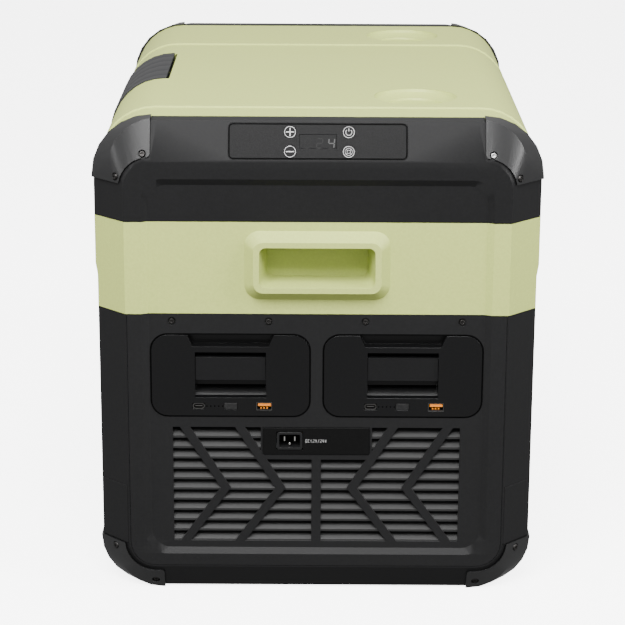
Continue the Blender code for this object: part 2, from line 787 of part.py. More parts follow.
def guard_outline(top, margin=0.0):
    """A corner guard's edge seen from the front, on the +X side, grown by margin."""
    radius = FACE_RADIUS + GUARD_MARGIN - margin
    if top:
        centre = (FACE_HALF - FACE_RADIUS, FACE_TOP - FACE_RADIUS)
        inner, level, beyond = GUARD_INNER_TOP - margin, GUARD_LOW - margin, SHELL_TOP + 0.02
    else:
        centre = (FACE_HALF - FACE_RADIUS, FACE_BOTTOM + FACE_RADIUS)
        inner, level, beyond = GUARD_INNER_BOTTOM - margin, GUARD_HIGH + margin, BASE_Z - 0.02
    outside = HALF_W + 0.02
    sign = 1 if top else -1
    tilt = math.degrees(math.asin(abs(level - centre[1]) / radius))
    curve = arc(centre, radius, sign * 90, sign * tilt, 8)
    if inner < centre[0]:
        curve = [(inner, curve[0][1])] + curve
    else:
        curve = [p for p in curve if p[0] > inner + 0.0005]
        curve = [(inner, centre[1] + sign * math.sqrt(radius ** 2 - (inner - centre[0]) ** 2))] + curve
    outline = [(inner, beyond)] + curve + [(outside, level), (outside, beyond)]
    radii = [0.0] * len(outline)
    radii[1] = GUARD_CORNER_RADIUS
    return fillet(outline, radii)


def guard_region(top, margin=0.0):
    """The prism that a front +X guard is cut from."""
    reach = FRONT + LID_INSET - GAP if top else FRONT + GUARD_WRAP + margin
    return prism(guard_outline(top, margin), "Y", FRONT - 0.02, reach if margin == 0 else reach + 0.01)


def guard_seat(top):
    """What a guard's seat takes out of the shell under it, front +X corner."""
    seat = guard_region(top, GAP)
    form = upper_envelope if top else lower_envelope
    return cut(seat, form(-GUARD_SINK - GAP))


def guard_screws(top):
    """Where the two screws of the front +X guard sit and which way they run."""
    edge, far = (FACE_TOP, SHELL_TOP) if top else (FACE_BOTTOM, BASE_Z)
    inner = GUARD_INNER_TOP + 0.007 if top else GUARD_INNER_BOTTOM + 0.0085
    level = edge + 0.0062 if top else edge - 0.0155
    slope = STRIP_DEPTH / (far - edge)
    strip = ((inner, FRONT + (level - edge) * slope + STRIP_SCREW_SINK, level), (0, 1, -slope))
    corner = 0.0065 if top else 0.0135
    height = edge - 0.015 if top else edge + 0.0165
    chamfer = ((FACE_HALF + corner, FRONT + corner - GUARD_SCREW_SINK, height), (-1, 1, 0))
    return strip, chamfer


def in_corner(point, side, end):
    """Carry a point or direction of the front +X corner to another corner."""
    return (point[0] * side, point[1] * end, point[2])


def make_guards():
    for level, top in (("upper", True), ("lower", False)):
        form = upper_envelope if top else lower_envelope
        shape = common(guard_region(top), form(GUARD_PROUD))
        cut(shape, form(-GUARD_SINK))
        if top:
            cut(shape, block((0, FRONT + LID_INSET - GAP, 0.3), (0.3, 0.1, 0.6)))
        for seat, direction in guard_screws(top):
            screw_holes(shape, seat, direction)
        for end_name, end in (("front", 1), ("rear", -1)):
            for side_name, side in (("left", -1), ("right", 1)):
                piece = flip(duplicate(shape), (side, end, 1))
                finish(piece, f"{level}_guard_{end_name}_{side_name}", "black_plastic")
        bpy.data.objects.remove(shape)
    for side_name, side in (("left", -1), ("right", 1)):
        for number, (seat, direction) in enumerate(guard_screws(True), 1):
            name = f"guard_screw_{side_name}_{number}"
            screw(name, in_corner(seat, side, 1), in_corner(direction, side, 1))


# ---------------------------------------------------------------- cabinet shells

def make_lower_shell():
    shell = clip(lower_envelope(), (0, 0, LOWER_TOP - SEAM), (0, 0, 1))
    cavity = clip(lower_envelope(-WALL), (0, 0, BASE_Z + FLOOR), (0, 0, -1))
    clip(cavity, (0, FRONT + COVER_DEPTH + WALL + GAP, 0), (0, -1, 0))
    clip(cavity, (0, HALF_L - END_WALL, 0), (0, 1, 0))
    opening = prism(cover_outline(COVER_LEDGE), "Y", FRONT - 0.01, FRONT + 0.03)
    clip(opening, (0, 0, LOWER_TOP - COVER_RAIL), (0, 0, 1))
    seat = [(x, z + 0.01 if z > LOWER_TOP - 0.001 else z) for x, z in cover_outline(-GAP)]
    cut(shell, cavity, opening, prism(seat, "Y", FRONT - 0.01, FRONT + COVER_DEPTH + GAP), end_recess(1))
    for x in COVER_SCREW_X:
        screw_holes(shell, (x, FRONT + RECESS_DEPTH, COVER_SCREW_Z), (0, 1, 0), clear_head=False)
    for side in (-1, 1):
        cut(shell, flip(insert_plate(GAP), (side, 1, 1)))
        for end in (1, -1):
            cut(shell, flip(guard_seat(False), (side, end, 1)))
    for side in (-1, 1):
        for end in (1, -1):
            for seat_point, direction in guard_screws(False):
                screw_holes(shell, in_corner(seat_point, side, end), in_corner(direction, side, end),
                            clear_head=False)
    finish(shell, "lower_shell", "black_plastic")


def insert_plate(grow=0.0):
    """The plate let into the front +X chamfer above the lower guard."""
    chamfer = CHAMFER - LOWER_STEP
    half = chamfer / math.sqrt(2) - INSERT_SIDE_GAP + grow
    low = GUARD_HIGH + GAP + SEAM - grow
    plate = block((-half, -GAP - 5 * grow, low), (half, INSERT_THICKNESS + grow, INSERT_TOP + grow))
    middle = (FACE_HALF + chamfer / 2, FRONT + chamfer / 2, 0)
    return moved(plate, matrix=Matrix.Translation(middle) @ Matrix.Rotation(math.radians(45), 4, "Z"))


def make_inserts():
    for side_name, side in (("left", -1), ("right", 1)):
        finish(flip(insert_plate(), (side, 1, 1)), f"corner_insert_{side_name}", "black_plastic")


def handle_surround(sign):
    """The raised bevelled frame around a pocket handle."""
    rings = []
    for depth, inset, radius in ((0.005, -0.001, 0.015), (RECESS_DEPTH - HANDLE_RAISE, HANDLE_SLOPE, 0.009)):
        outline = rounded_box_outline(
            HANDLE_HALF - inset, HANDLE_Z - HANDLE_HALF_HEIGHT + inset,
            HANDLE_Z + HANDLE_HALF_HEIGHT - inset, radius, radius, 6)
        rings.append([(x, sign * (HALF_L - depth), z) for x, z in outline])
    return loft(rings)


def handle_pocket(sign, grow=0.0):
    """The hollow of a pocket handle, grown by its wall where the wall is wanted."""
    rings = []
    rim = RECESS_DEPTH - HANDLE_RAISE - (0.002 if grow == 0 else -0.010)
    for depth, taper in ((rim, 0), (POCKET_DEPTH + grow, POCKET_TAPER)):
        outline = rounded_box_outline(
            POCKET_HALF - taper + grow, HANDLE_Z - POCKET_HALF_HEIGHT + taper / 3 - grow,
            HANDLE_Z + POCKET_HALF_HEIGHT - taper / 3 + grow, 0.006 + grow, 0.006 + grow, 5)
        rings.append([(x, sign * (HALF_L - depth), z) for x, z in outline])
    return loft(rings)


def make_mid_band():
    levels = ((LOWER_TOP, LOWER_STEP), (BAND_STEP_LOW, LOWER_STEP), (BAND_STEP_HIGH, 0), (BAND_TOP - SEAM, 0))
    band = loft([[(x, y, z) for x, y in plan_outline(HALF_W - step, CHAMFER - step)] for z, step in levels])
    inside = plan_outline(HALF_W - LOWER_STEP, CHAMFER - LOWER_STEP, END_WALL, WALL)
    cut(band, end_recess(-1), end_recess(1))
    hollow = prism(inside, "Z", LOWER_TOP - 0.01, BAND_TOP + 0.01)
    for sign in (-1, 1):
        cut(hollow, handle_pocket(sign, POCKET_WALL))
    cut(band, hollow)
    for sign in (-1, 1):
        join(band, handle_surround(sign))
        cut(band, handle_pocket(sign))
    finish(band, "mid_band", "green_plastic")


def make_upper_frame():
    frame = clip(upper_envelope(), (0, 0, BAND_TOP), (0, 0, -1))
    lid_room = block((-0.4, FRONT + LID_INSET, DECK_TOP), (0.4, HALF_L - LID_INSET, 0.6))
    inside = prism(plan_outline(HALF_W, CHAMFER, END_WALL, WALL), "Z", BAND_TOP - 0.01, DECK_TOP - WALL)
    well_half = LINER_HALF + LINER_WALL + 0.003
    well_end = HALF_L - LINER_END_MARGIN + LINER_WALL + 0.003
    well = prism(rounded_box_outline(well_half, -well_end, well_end, LINER_RADIUS, LINER_RADIUS, 4),
                 "Z", BAND_TOP, 0.5)
    cut(frame, lid_room, inside, well, end_recess(-1), end_recess(1))
    cut(frame, panel_block(PANEL_HALF + GAP, PANEL_HALF_HEIGHT + GAP, -PANEL_THICKNESS - GAP, 0.01, 0.0045),
        panel_block(PANEL_HALF - PANEL_LEDGE, PANEL_HALF_HEIGHT - PANEL_LEDGE,
                    -PANEL_CAVITY, 0.01, 0.003))
    cut(frame, lever_pocket())
    for side in (-1, 1):
        for end in (1, -1):
            cut(frame, flip(guard_seat(True), (side, end, 1)))
            for seat_point, direction in guard_screws(True):
                screw_holes(frame, in_corner(seat_point, side, end), in_corner(direction, side, end),
                            clear_head=False)
    for y in HINGES_Y:
        cut(frame, hinge_rod(y, KNUCKLE_RADIUS + KNUCKLE_ROOM, HINGE_LENGTH + 0.002))
        for shift in (-1, 1):
            join(frame, knuckle(y + shift * HINGE_LENGTH / 3, below=True))
        cut(frame, hinge_rod(y, HINGE_PIN_RADIUS + GAP, HINGE_LENGTH + 0.01))
    finish(frame, "upper_frame", "black_plastic")


# ---------------------------------------------------------------- control panel

PANEL_PLACE = (Matrix.Translation((0, FRONT + STRIP_DEPTH / 2, (SHELL_TOP + FACE_TOP) / 2))
               @ Matrix.Rotation(-STRIP_SLANT, 4, "X"))


def panel_block(half, half_height, low, high, radius):
    """A rounded plate on the slanted strip; low and high are depths, outward positive."""
    outline = rounded_box_outline(half, -half_height, half_height, radius, radius, 4)
    return moved(prism(outline, "Y", -high, -low), matrix=PANEL_PLACE)


def panel_disc(x, z, radius, low, high):
    return moved(rod((x, -high, z), (x, -low, z), radius, 16), matrix=PANEL_PLACE)


KEYS = (("key_plus", -0.0252, 0.0085), ("key_minus", -0.0252, -0.0093),
        ("key_power", 0.0278, 0.0085), ("key_eco", 0.0278, -0.0093))


def make_control_panel():
    """The fascia, the display on its board and the four keys."""
    window = (DISPLAY_HALF + GAP, DISPLAY_HALF_HEIGHT + GAP)
    fascia = panel_block(PANEL_HALF, PANEL_HALF_HEIGHT, -PANEL_THICKNESS, 0, 0.0042)
    cut(fascia, moved(block((-window[0], -0.01, -window[1]), (window[0], 0.01, window[1])),
                      matrix=PANEL_PLACE))
    for _, x, z in KEYS:
        cut(fascia, panel_disc(x, z, KEY_RADIUS + GAP, -0.01, 0.01))
    finish(fascia, "control_fascia", "gloss_black")

    board_back = -PANEL_CAVITY + GAP
    board_face = board_back + BOARD_THICKNESS
    board = panel_block(PANEL_HALF - PANEL_LEDGE - BOARD_MARGIN, PANEL_HALF_HEIGHT - BOARD_MARGIN,
                        board_back, board_face, 0.001)
    display = block((-DISPLAY_HALF, GAP, -DISPLAY_HALF_HEIGHT),
                    (DISPLAY_HALF, 0.0005 - board_face, DISPLAY_HALF_HEIGHT))
    join(board, moved(display, matrix=PANEL_PLACE))
    finish(board, "display_board", "gloss_black")

    for name, x, z in KEYS:
        key = panel_disc(x, z, KEY_RADIUS, -PANEL_THICKNESS, -GAP / 3)
        join(key, panel_disc(x, z, KEY_STEM, board_face + KEY_TRAVEL + GAP, GAP - PANEL_THICKNESS))
        finish(key, name, "gloss_black", tuple(PANEL_PLACE @ Vector((x, GAP / 3, z))))


# ---------------------------------------------------------------- lid, latch and hinges

def lid_section(offset):
    """The lid's section across its width, as (x, z), open shoulders rounded."""
    half, top = LID_HALF + offset, SHELL_TOP + offset
    radius = SHOULDER_RADIUS - LID_SIDE_STEP + offset
    centre_z = top - radius
    # A large shoulder meets the lid's lower edge before it turns upright
    start = math.degrees(math.asin(max(0, (LID_BOTTOM - centre_z) / radius)))
    shoulder = arc((half - radius, centre_z), radius, start, 90, 8)
    if start == 0:
        shoulder.insert(0, (half, LID_BOTTOM))
    return shoulder + [(-x, z) for x, z in reversed(shoulder)]


def lid_form(end_offset, offset, channels=True):
    """The lid's outer block with its two channels, running along Y."""
    front = LID_FRONT + end_offset
    rear = -front
    stations = [(front, offset)]
    if channels:
        for low, high in CHANNELS:
            stations += [(low, offset), (low + CHANNEL_EDGE, offset - CHANNEL_DEPTH),
                         (high - CHANNEL_EDGE, offset - CHANNEL_DEPTH), (high, offset)]
    stations.append((rear, offset))
    return loft([[(x, y, z) for x, z in lid_section(depth)] for y, depth in stations])


def lever_section(outer, inner, side_gap=0.0):
    """The lever's bent strip over the -X shoulder, as (x, z)."""
    radius = SHOULDER_RADIUS
    centre = (-HALF_W + SHOULDER_RADIUS, SHELL_TOP - SHOULDER_RADIUS)
    top_x = -LEVER_INNER_X + side_gap
    bottom = LEVER_BOTTOM - side_gap / 3
    outside = [(top_x, centre[1] + radius + outer)] + arc(centre, radius + outer, 90, 180, 8)
    inside = arc(centre, radius + inner, 180, 90, 8)
    return [*outside, (centre[0] - radius - outer, bottom), (centre[0] - radius - inner, bottom),
            *inside, (top_x, centre[1] + radius + inner)]


def lever_pocket():
    """The hollow that the lever lies in."""
    half = LEVER_WIDTH / 2 + LEVER_SIDE_GAP
    section = lever_section(0.02, -LEVER_ROOM_DEPTH, LEVER_TOP_GAP)
    return prism(section, "Y", -half, half)


def latch_pin_rod(radius, overrun):
    """A rod along the lever's axis, longer than the lever by the overrun at each end."""
    reach = LEVER_WIDTH / 2 + overrun
    return rod((LATCH_PIN_X, -reach, LATCH_PIN_Z), (LATCH_PIN_X, reach, LATCH_PIN_Z), radius, 12)


def lid_hollow():
    """The space inside the lid, which leaves walls round the lever pocket and the cups."""
    section = [(x, LID_BOTTOM - 0.002 if z == LID_BOTTOM else z)
               for x, z in lid_section(-LID_WALL - LID_ROOF_EXTRA)]
    end = LID_FRONT + LID_WALL
    hollow = loft([[(x, y, z) for x, z in section] for y in (end, -end)])
    half = LEVER_WIDTH / 2 + LEVER_SIDE_GAP + LEVER_POCKET_WALL
    latch_room = block((-HALF_W, -half, 0), (-LEVER_INNER_X + LEVER_TOP_GAP + LEVER_POCKET_WALL, half, 0.5))
    cut(latch_room, lid_form(-0.01, -LATCH_WALL_DEPTH, channels=False))
    cut(hollow, latch_room)
    for x, y in CUPS:
        cut(hollow, rod((x, y, SHELL_TOP - CUP_DEPTH - CUP_WALL), (x, y, SHELL_TOP + 0.01),
                        CUP_RADIUS + CUP_WALL, 24))
    return hollow


def cup_recess(x, y):
    """A stepped round recess with a sloping rim, as a solid to cut with."""
    shelf, well = CUP_RADIUS - CUP_SHELF, CUP_RADIUS - CUP_SHELF - 0.0012
    profile = [(0, 0.01), (CUP_RADIUS, 0.01), (CUP_RADIUS, -0.0004), (CUP_RADIUS - 0.0016, -0.0028),
               (CUP_RADIUS - 0.0060, -0.0052), (shelf, -0.0066), (well, -CUP_DEPTH), (0, -CUP_DEPTH)]
    return turned(profile, Matrix.Translation((x, y, SHELL_TOP)), 32)


def make_lid_cover():
    """The green cover with its channels, cup recesses, lever pocket and hinge knuckles."""
    cover = cut(lid_form(0, 0), lid_hollow(), *[cup_recess(x, y) for x, y in CUPS], lever_pocket(),
                latch_pin_rod(LATCH_PIN_RADIUS + GAP, LATCH_PIN_OVERRUN + SEAM))
    for y in HINGES_Y:
        for shift in (-1, 1):
            cut(cover, hinge_rod(y + shift * HINGE_LENGTH / 3, KNUCKLE_RADIUS + KNUCKLE_ROOM,
                                 HINGE_LENGTH / 3 + 2 * KNUCKLE_ROOM))
        join(cover, knuckle(y, below=False))
        cut(cover, hinge_rod(y, HINGE_PIN_RADIUS + GAP, HINGE_LENGTH + 0.01))
    finish(cover, "lid_cover", "green_plastic", (HINGE_X, 0, HINGE_Z))


def make_lid_liner():
    """The inner panel with the insulating plug that fills the mouth of the compartment."""
    half = LID_HALF - LID_WALL - LINER_SIDE_ROOM
    end = -LID_FRONT - LID_WALL - GAP
    panel = block((-half, -end, LID_PANEL_LOW), (half, end, LID_PANEL_LOW + LID_PANEL_THICKNESS))
    plug_half, plug_end = LINER_HALF - LID_PLUG_GAP, LINER_END - LID_PLUG_GAP
    plug = rounded_box_outline(plug_half, -plug_end, plug_end, 0.012, 0.012, 4)
    join(panel, prism(plug, "Z", LID_PANEL_LOW - LID_PLUG_DEPTH, LID_PANEL_LOW + 0.001))
    latch_wall = LID_HALF - LATCH_WALL_DEPTH - 0.001
    reach = LEVER_WIDTH / 2 + LEVER_SIDE_GAP + LEVER_POCKET_WALL + 0.0005
    cut(panel, block((-HALF_W, -reach, 0), (-latch_wall, reach, 0.5)))
    finish(panel, "lid_liner", "white_plastic", (HINGE_X, 0, HINGE_Z))


def make_lid_gasket():
    """The seal between the lid's inner panel and the flange of the compartment."""
    half, end = LINER_HALF + 0.004, LINER_END + 0.004
    outer = rounded_box_outline(half + GASKET_WIDTH, -end - GASKET_WIDTH, end + GASKET_WIDTH, 0.020, 0.020, 4)
    inner = rounded_box_outline(half, -end, end, 0.012, 0.012, 4)
    gasket = prism(outer, "Z", GASKET_LOW, GASKET_LOW + GASKET_THICKNESS, holes=(inner,))
    finish(gasket, "lid_gasket", "rubber", (HINGE_X, 0, HINGE_Z))


def make_latch():
    """The lever that wraps over the shoulder, with shallow finger grooves, and its pin."""
    half = LEVER_WIDTH / 2
    groove = LEVER_WIDTH / (2.6 * LEVER_GROOVES)
    pitch = (LEVER_WIDTH - 2 * LEVER_GROOVE_MARGIN - groove) / (LEVER_GROOVES - 1)
    stations = [(-half, 0.0)]
    for i in range(LEVER_GROOVES):
        start = LEVER_GROOVE_MARGIN - half + i * pitch
        stations += [(start, 0.0), (start + groove * 0.3, LEVER_GROOVE_DEPTH),
                     (start + groove * 0.7, LEVER_GROOVE_DEPTH), (start + groove, 0.0)]
    stations.append((half, 0.0))
    rings = []
    for y, depth in stations:
        section = lever_section(LEVER_PROUD - depth, LEVER_PROUD - LEVER_THICKNESS)
        rings.append([(x, y, z) for x, z in section])
    pivot = (LATCH_PIN_X, 0, LATCH_PIN_Z)
    lever = cut(loft(rings), latch_pin_rod(LATCH_PIN_RADIUS + GAP, 0.01))
    finish(lever, "latch_lever", "grey_plastic", pivot)
    finish(latch_pin_rod(LATCH_PIN_RADIUS, LATCH_PIN_OVERRUN), "latch_pin", "steel", pivot)


def hinge_rod(y, radius, length):
    return rod((HINGE_X, y - length / 2, HINGE_Z), (HINGE_X, y + length / 2, HINGE_Z), radius, 12)


def knuckle(y, below):
    """One knuckle on the hinge axis with the tab that carries it."""
    half = HINGE_LENGTH / 6 - KNUCKLE_ROOM / 2
    ends = sorted((HINGE_Z, HINGE_Z - KNUCKLE_TAB if below else HINGE_Z + KNUCKLE_TAB))
    tab = block((HINGE_X - KNUCKLE_RADIUS + SEAM, y - half, ends[0]), (HINGE_X, y + half, ends[1]))
    return join(hinge_rod(y, KNUCKLE_RADIUS, 2 * half), tab)


def make_hinge_pins():
    for name, y in zip(("hinge_pin_front", "hinge_pin_rear"), HINGES_Y):
        finish(hinge_rod(y, HINGE_PIN_RADIUS, HINGE_LENGTH), name, "steel", (HINGE_X, y, HINGE_Z))


# ---------------------------------------------------------------- food compartment

def liner_box(grow, low_grow, top):
    """The stepped food compartment as one solid, grown outward."""
    radius = LINER_RADIUS + grow

    def room(front, rear, low):
        middle = (front + rear) / 2
        half = (rear - front) / 2
        outline = rounded_box_outline(LINER_HALF + grow, -half - grow, half + grow, radius, radius, 4)
        return moved(prism(outline, "Z", low - low_grow, top), (0, middle, 0))

    return join(room(LINER_STEP_Y, LINER_END, LINER_FLOOR_Z), room(-LINER_END, LINER_END, LINER_STEP_Z))


def make_inner_liner():
    """The stepped white liner with the flange that hangs it on the deck."""
    flange_low = DECK_TOP + GAP
    flange_top = flange_low + LINER_FLANGE_THICKNESS
    half, end = LINER_HALF + LINER_FLANGE, LINER_END + LINER_FLANGE
    flange = prism(rounded_box_outline(half, -end, end, 0.025, 0.025, 4), "Z", flange_low, flange_top)
    liner = join(liner_box(LINER_WALL, LINER_WALL, flange_top), flange)
    cut(liner, liner_box(0, 0, flange_top + 0.01))
    finish(liner, "inner_liner", "white_plastic")


def make_evaporator():
    """The cold band wrapped round the deep part of the liner."""
    half_length = (LINER_END - LINER_STEP_Y) / 2
    middle = (LINER_END + LINER_STEP_Y) / 2

    def loop(grow):
        outline = rounded_box_outline(LINER_HALF + grow, -half_length - grow, half_length + grow,
                                      LINER_RADIUS + grow, LINER_RADIUS + grow, 4)
        return [(x, y + middle) for x, y in outline]

    inside = LINER_WALL + GAP
    band = prism(loop(inside + EVAPORATOR_THICKNESS), "Z", LINER_FLOOR_Z + EVAPORATOR_MARGIN,
                 LINER_STEP_Z - EVAPORATOR_MARGIN, holes=(loop(inside),))
    finish(band, "evaporator_plate", "aluminium")


def make_foam():
    """The insulation between the shells and the liner, with the machine room left free."""
    foam = clip(lower_envelope(-WALL - FOAM_GAP), (0, 0, BASE_Z + FLOOR + GAP), (0, 0, -1))
    clip(foam, (0, 0, DECK_TOP - WALL - GAP), (0, 0, 1))
    clip(foam, (0, FRONT + COVER_DEPTH + WALL + 2 * FOAM_GAP, 0), (0, -1, 0))
    clip(foam, (0, HALF_L - END_WALL - GAP, 0), (0, 1, 0))
    cut(foam, block((-0.4, 2 * FRONT, -0.1), (0.4, FOAM_FRONT_Y, FOAM_STEP_Z)))
    for sign in (-1, 1):
        cut(foam, handle_pocket(sign, POCKET_WALL + 2 * FOAM_GAP))
    room = LINER_WALL + EVAPORATOR_THICKNESS + 2 * GAP
    cut(foam, liner_box(room, LINER_WALL + 2 * GAP, SHELL_TOP),
        tube(SUCTION_PATH, SUCTION_RADIUS + 0.0012))
    finish(foam, "foam_jacket", "foam")


# ---------------------------------------------------------------- cooling machinery

MACHINE_FLOOR = BASE_Z + FLOOR + GAP
FAN_X = sum(CONDENSER_X) / 2
FAN_Z = sum(CONDENSER_Z) / 2
CONDENSER_Y = FRONT + SLAT_SET_BACK + SLAT_RUN + 0.004
FAN_Y = CONDENSER_Y + CONDENSER_DEPTH + 0.003
COMPRESSOR_Y = FOAM_FRONT_Y - COMPRESSOR_RADIUS - 0.020
EVAPORATOR_FRONT = LINER_STEP_Y - LINER_WALL - GAP - EVAPORATOR_THICKNESS
SUCTION_PATH = smooth_path([
    (COMPRESSOR_X, COMPRESSOR_Y + COMPRESSOR_RADIUS + GAP + 0.001, 0.100),
    (COMPRESSOR_X, COMPRESSOR_Y + COMPRESSOR_RADIUS + 0.008, 0.101),
    (COMPRESSOR_X, FOAM_FRONT_Y - 0.004, 0.118),
    (COMPRESSOR_X, FOAM_FRONT_Y + 0.012, 0.132),
    (COMPRESSOR_X, EVAPORATOR_FRONT - GAP, 0.134)], steps=3)


def make_compressor():
    """The welded steel can on its base plate and four feet."""
    radius, height = COMPRESSOR_RADIUS, COMPRESSOR_HEIGHT
    seam = height / 2 + 0.005
    profile = [(0, height), (radius * 0.45, height - 0.003), (radius * 0.8, height - 0.014),
               (radius * 0.95, height - 0.030), (radius * 0.97, seam + 0.006), (radius, seam + 0.004),
               (radius, seam - 0.003), (radius * 0.97, seam - 0.005), (radius * 0.95, 0.030),
               (radius * 0.7, 0.012), (0, 0.008)]
    x, y, low = COMPRESSOR_X, COMPRESSOR_Y, MACHINE_FLOOR + COMPRESSOR_LIFT
    body = turned(profile, Matrix.Translation((x, y, low)), 20)
    half, depth = radius + 0.008, radius - 0.004
    join(body, block((x - half, y - depth, low + 0.004), (x + half, y + depth, low + 0.013)))
    for sx in (-1, 1):
        for sy in (-1, 1):
            foot = (x + sx * (half - 0.010), y + sy * (depth - 0.010))
            join(body, rod((*foot, MACHINE_FLOOR), (*foot, low + 0.016), 0.007, 10))
    finish(body, "compressor", "black_enamel")


def make_pipes():
    """The suction pipe to the evaporator and the discharge pipe to the condenser."""
    finish(tube(SUCTION_PATH, SUCTION_RADIUS), "suction_pipe", "copper")
    top, middle = 0.125, CONDENSER_Y + CONDENSER_DEPTH / 2
    side = COMPRESSOR_X - COMPRESSOR_RADIUS
    discharge = smooth_path([
        (CONDENSER_X[1] + 0.0015, middle, top), (CONDENSER_X[1] + 0.012, middle, top),
        (side - 0.012, COMPRESSOR_Y - 0.010, top - 0.020), (side - GAP, COMPRESSOR_Y, top - 0.025)], steps=4)
    finish(tube(discharge, DISCHARGE_RADIUS), "discharge_pipe", "copper")


def make_condenser():
    """A finned block: upright fins brazed to a flat core."""
    (x0, x1), (z0, z1) = CONDENSER_X, CONDENSER_Z
    y0, y1 = CONDENSER_Y, CONDENSER_Y + CONDENSER_DEPTH
    core = block((x0, y0 + CONDENSER_DEPTH / 3, z0), (x1, y1 - CONDENSER_DEPTH / 3, z1))
    pitch = (x1 - x0 - FIN_THICKNESS) / (CONDENSER_FINS - 1)
    for i in range(CONDENSER_FINS):
        x = x0 + i * pitch
        join(core, block((x, y0, z0 - 0.0005), (x + FIN_THICKNESS, y1, z1 + 0.0005)))
    finish(core, "condenser", "aluminium")


def make_fan_frame():
    """The square fan frame, whose three arms carry the hub and its shaft stub."""
    half = FAN_SIZE / 2
    y0, y1 = FAN_Y, FAN_Y + FAN_DEPTH
    square = rounded_box_outline(half, -half, half, 0.006, 0.006, 3)
    frame = prism([(x + FAN_X, z + FAN_Z) for x, z in square], "Y", y0, y1)
    cut(frame, rod((FAN_X, y0 - 0.01, FAN_Z), (FAN_X, y1 + 0.01, FAN_Z), half - 0.003, 28))
    for i in range(3):
        arm = block((-0.0025, y1 - 0.003, 0), (0.0025, y1, half - 0.001))
        moved(arm, matrix=Matrix.Rotation(2 * math.pi * i / 3, 4, "Y"))
        join(frame, moved(arm, (FAN_X, 0, FAN_Z)))
    join(frame, rod((FAN_X, y1 - FAN_HUB_THICKNESS, FAN_Z), (FAN_X, y1 - GAP, FAN_Z), FAN_HUB, 16),
         rod((FAN_X, y1 - 0.008, FAN_Z), (FAN_X, y1 - 0.002, FAN_Z), FAN_SHAFT, 12))
    hole = half - 0.005
    for x in (FAN_X - hole, FAN_X + hole):
        for z in (FAN_Z - hole, FAN_Z + hole):
            cut(frame, rod((x, y0 - 0.01, z), (x, y1 + 0.01, z), 0.0021, 10))
    finish(frame, "fan_frame", "black_plastic")


def make_fan_rotor():
    """The hub with its blades, which turns on the frame's shaft stub."""
    front, back = FAN_Y + 0.001, FAN_Y + FAN_DEPTH - FAN_HUB_THICKNESS - 0.0008
    rotor = rod((FAN_X, front, FAN_Z), (FAN_X, back, FAN_Z), FAN_HUB, 24)
    tip = FAN_SIZE / 2 - 0.003 - FAN_TIP_GAP
    for i in range(FAN_BLADES):
        blade = block((-0.011, -0.0009, FAN_HUB - 0.002), (0.011, 0.0009, tip))
        moved(blade, matrix=Matrix.Rotation(math.radians(35), 4, "Z"))
        moved(blade, matrix=Matrix.Rotation(2 * math.pi * i / FAN_BLADES, 4, "Y"))
        join(rotor, moved(blade, (FAN_X, (front + back) / 2, FAN_Z)))
    cut(rotor, rod((FAN_X, back - 0.0056, FAN_Z), (FAN_X, back + 0.010, FAN_Z), FAN_SHAFT + GAP, 12))
    finish(rotor, "fan_rotor", "black_plastic", (FAN_X, FAN_Y + FAN_DEPTH / 2, FAN_Z))


def make_power_board():
    """The compressor's driver board with its heat sink, upright behind the battery bay."""
    y = FRONT + COVER_DEPTH + BATTERY_LENGTH + BOARD_SPACE
    low, high = BATTERY_LOW + 0.002, BATTERY_LOW + 0.078
    face = y + BOARD_THICKNESS
    board = block((-0.120, y, low), (-0.010, face, high))
    join(board, block((-0.107, face - SEAM, low + 0.008), (-0.052, face + 0.003, high - 0.008)))
    for i in range(7):
        x = -0.105 + i * 0.008
        join(board, block((x, face, low + 0.010), (x + 0.003, face + 0.018, high - 0.010)))
    for x in (-0.040, -0.024):
        join(board, rod((x, face - SEAM, low + 0.025), (x, face + 0.016, low + 0.025), 0.006, 16))
    finish(board, "power_board", "circuit")


# ---------------------------------------------------------------- inlet

def make_inlet():
    """The inlet's plate, its moulded socket and the contacts inside."""
    front = INLET_SEAT - INLET_PLATE_THICKNESS
    plate = prism(rounded_box_outline(INLET_PLATE_HALF, INLET_PLATE_LOW, INLET_PLATE_HIGH, 0.0012, 0.0012, 2),
                  "Y", front, INLET_SEAT - GAP)
    cut(plate, socket_block(GAP, front - 0.01, INLET_SEAT + 0.01))
    finish(plate, "inlet_plate", "gloss_black")

    mouth = front - 2 * GAP
    floor = mouth + SOCKET_DEPTH
    socket = prism(socket_outline(0, 0.0025), "Y", mouth, floor + SOCKET_BACK)
    cut(socket, prism(socket_outline(-SOCKET_WALL, 0.0012), "Y", mouth - 0.01, floor))
    finish(socket, "inlet_socket", "black_plastic")

    base = floor - GAP - 0.0015
    tip = base - BLADE_LENGTH
    pins = socket_block(-SOCKET_WALL - 0.001, base, floor - GAP)
    for x in (SOCKET_X - BLADE_SPACING / 2, SOCKET_X + BLADE_SPACING / 2):
        join(pins, block((x - 0.0006, tip, SOCKET_Z - 0.001), (x + 0.0006, base + 0.001, SOCKET_Z + 0.0035)))
    low = SOCKET_Z - 0.0038
    join(pins, rod((SOCKET_X, tip, low), (SOCKET_X, base + 0.001, low), 0.0011, 12))
    finish(pins, "inlet_pins", "steel")


def socket_block(grow, y0, y1):
    """A square-cornered block over the inlet socket, larger by grow all round."""
    half, half_height = SOCKET_WIDTH / 2 + grow, SOCKET_HEIGHT / 2 + grow
    return block((SOCKET_X - half, y0, SOCKET_Z - half_height), (SOCKET_X + half, y1, SOCKET_Z + half_height))


def socket_outline(grow, radius):
    """The inlet socket's rounded outline, larger by grow all round."""
    half, half_height = SOCKET_WIDTH / 2 + grow, SOCKET_HEIGHT / 2 + grow
    outline = rounded_box_outline(half, -half_height, half_height, radius, radius, 3)
    return [(x + SOCKET_X, z + SOCKET_Z) for x, z in outline]


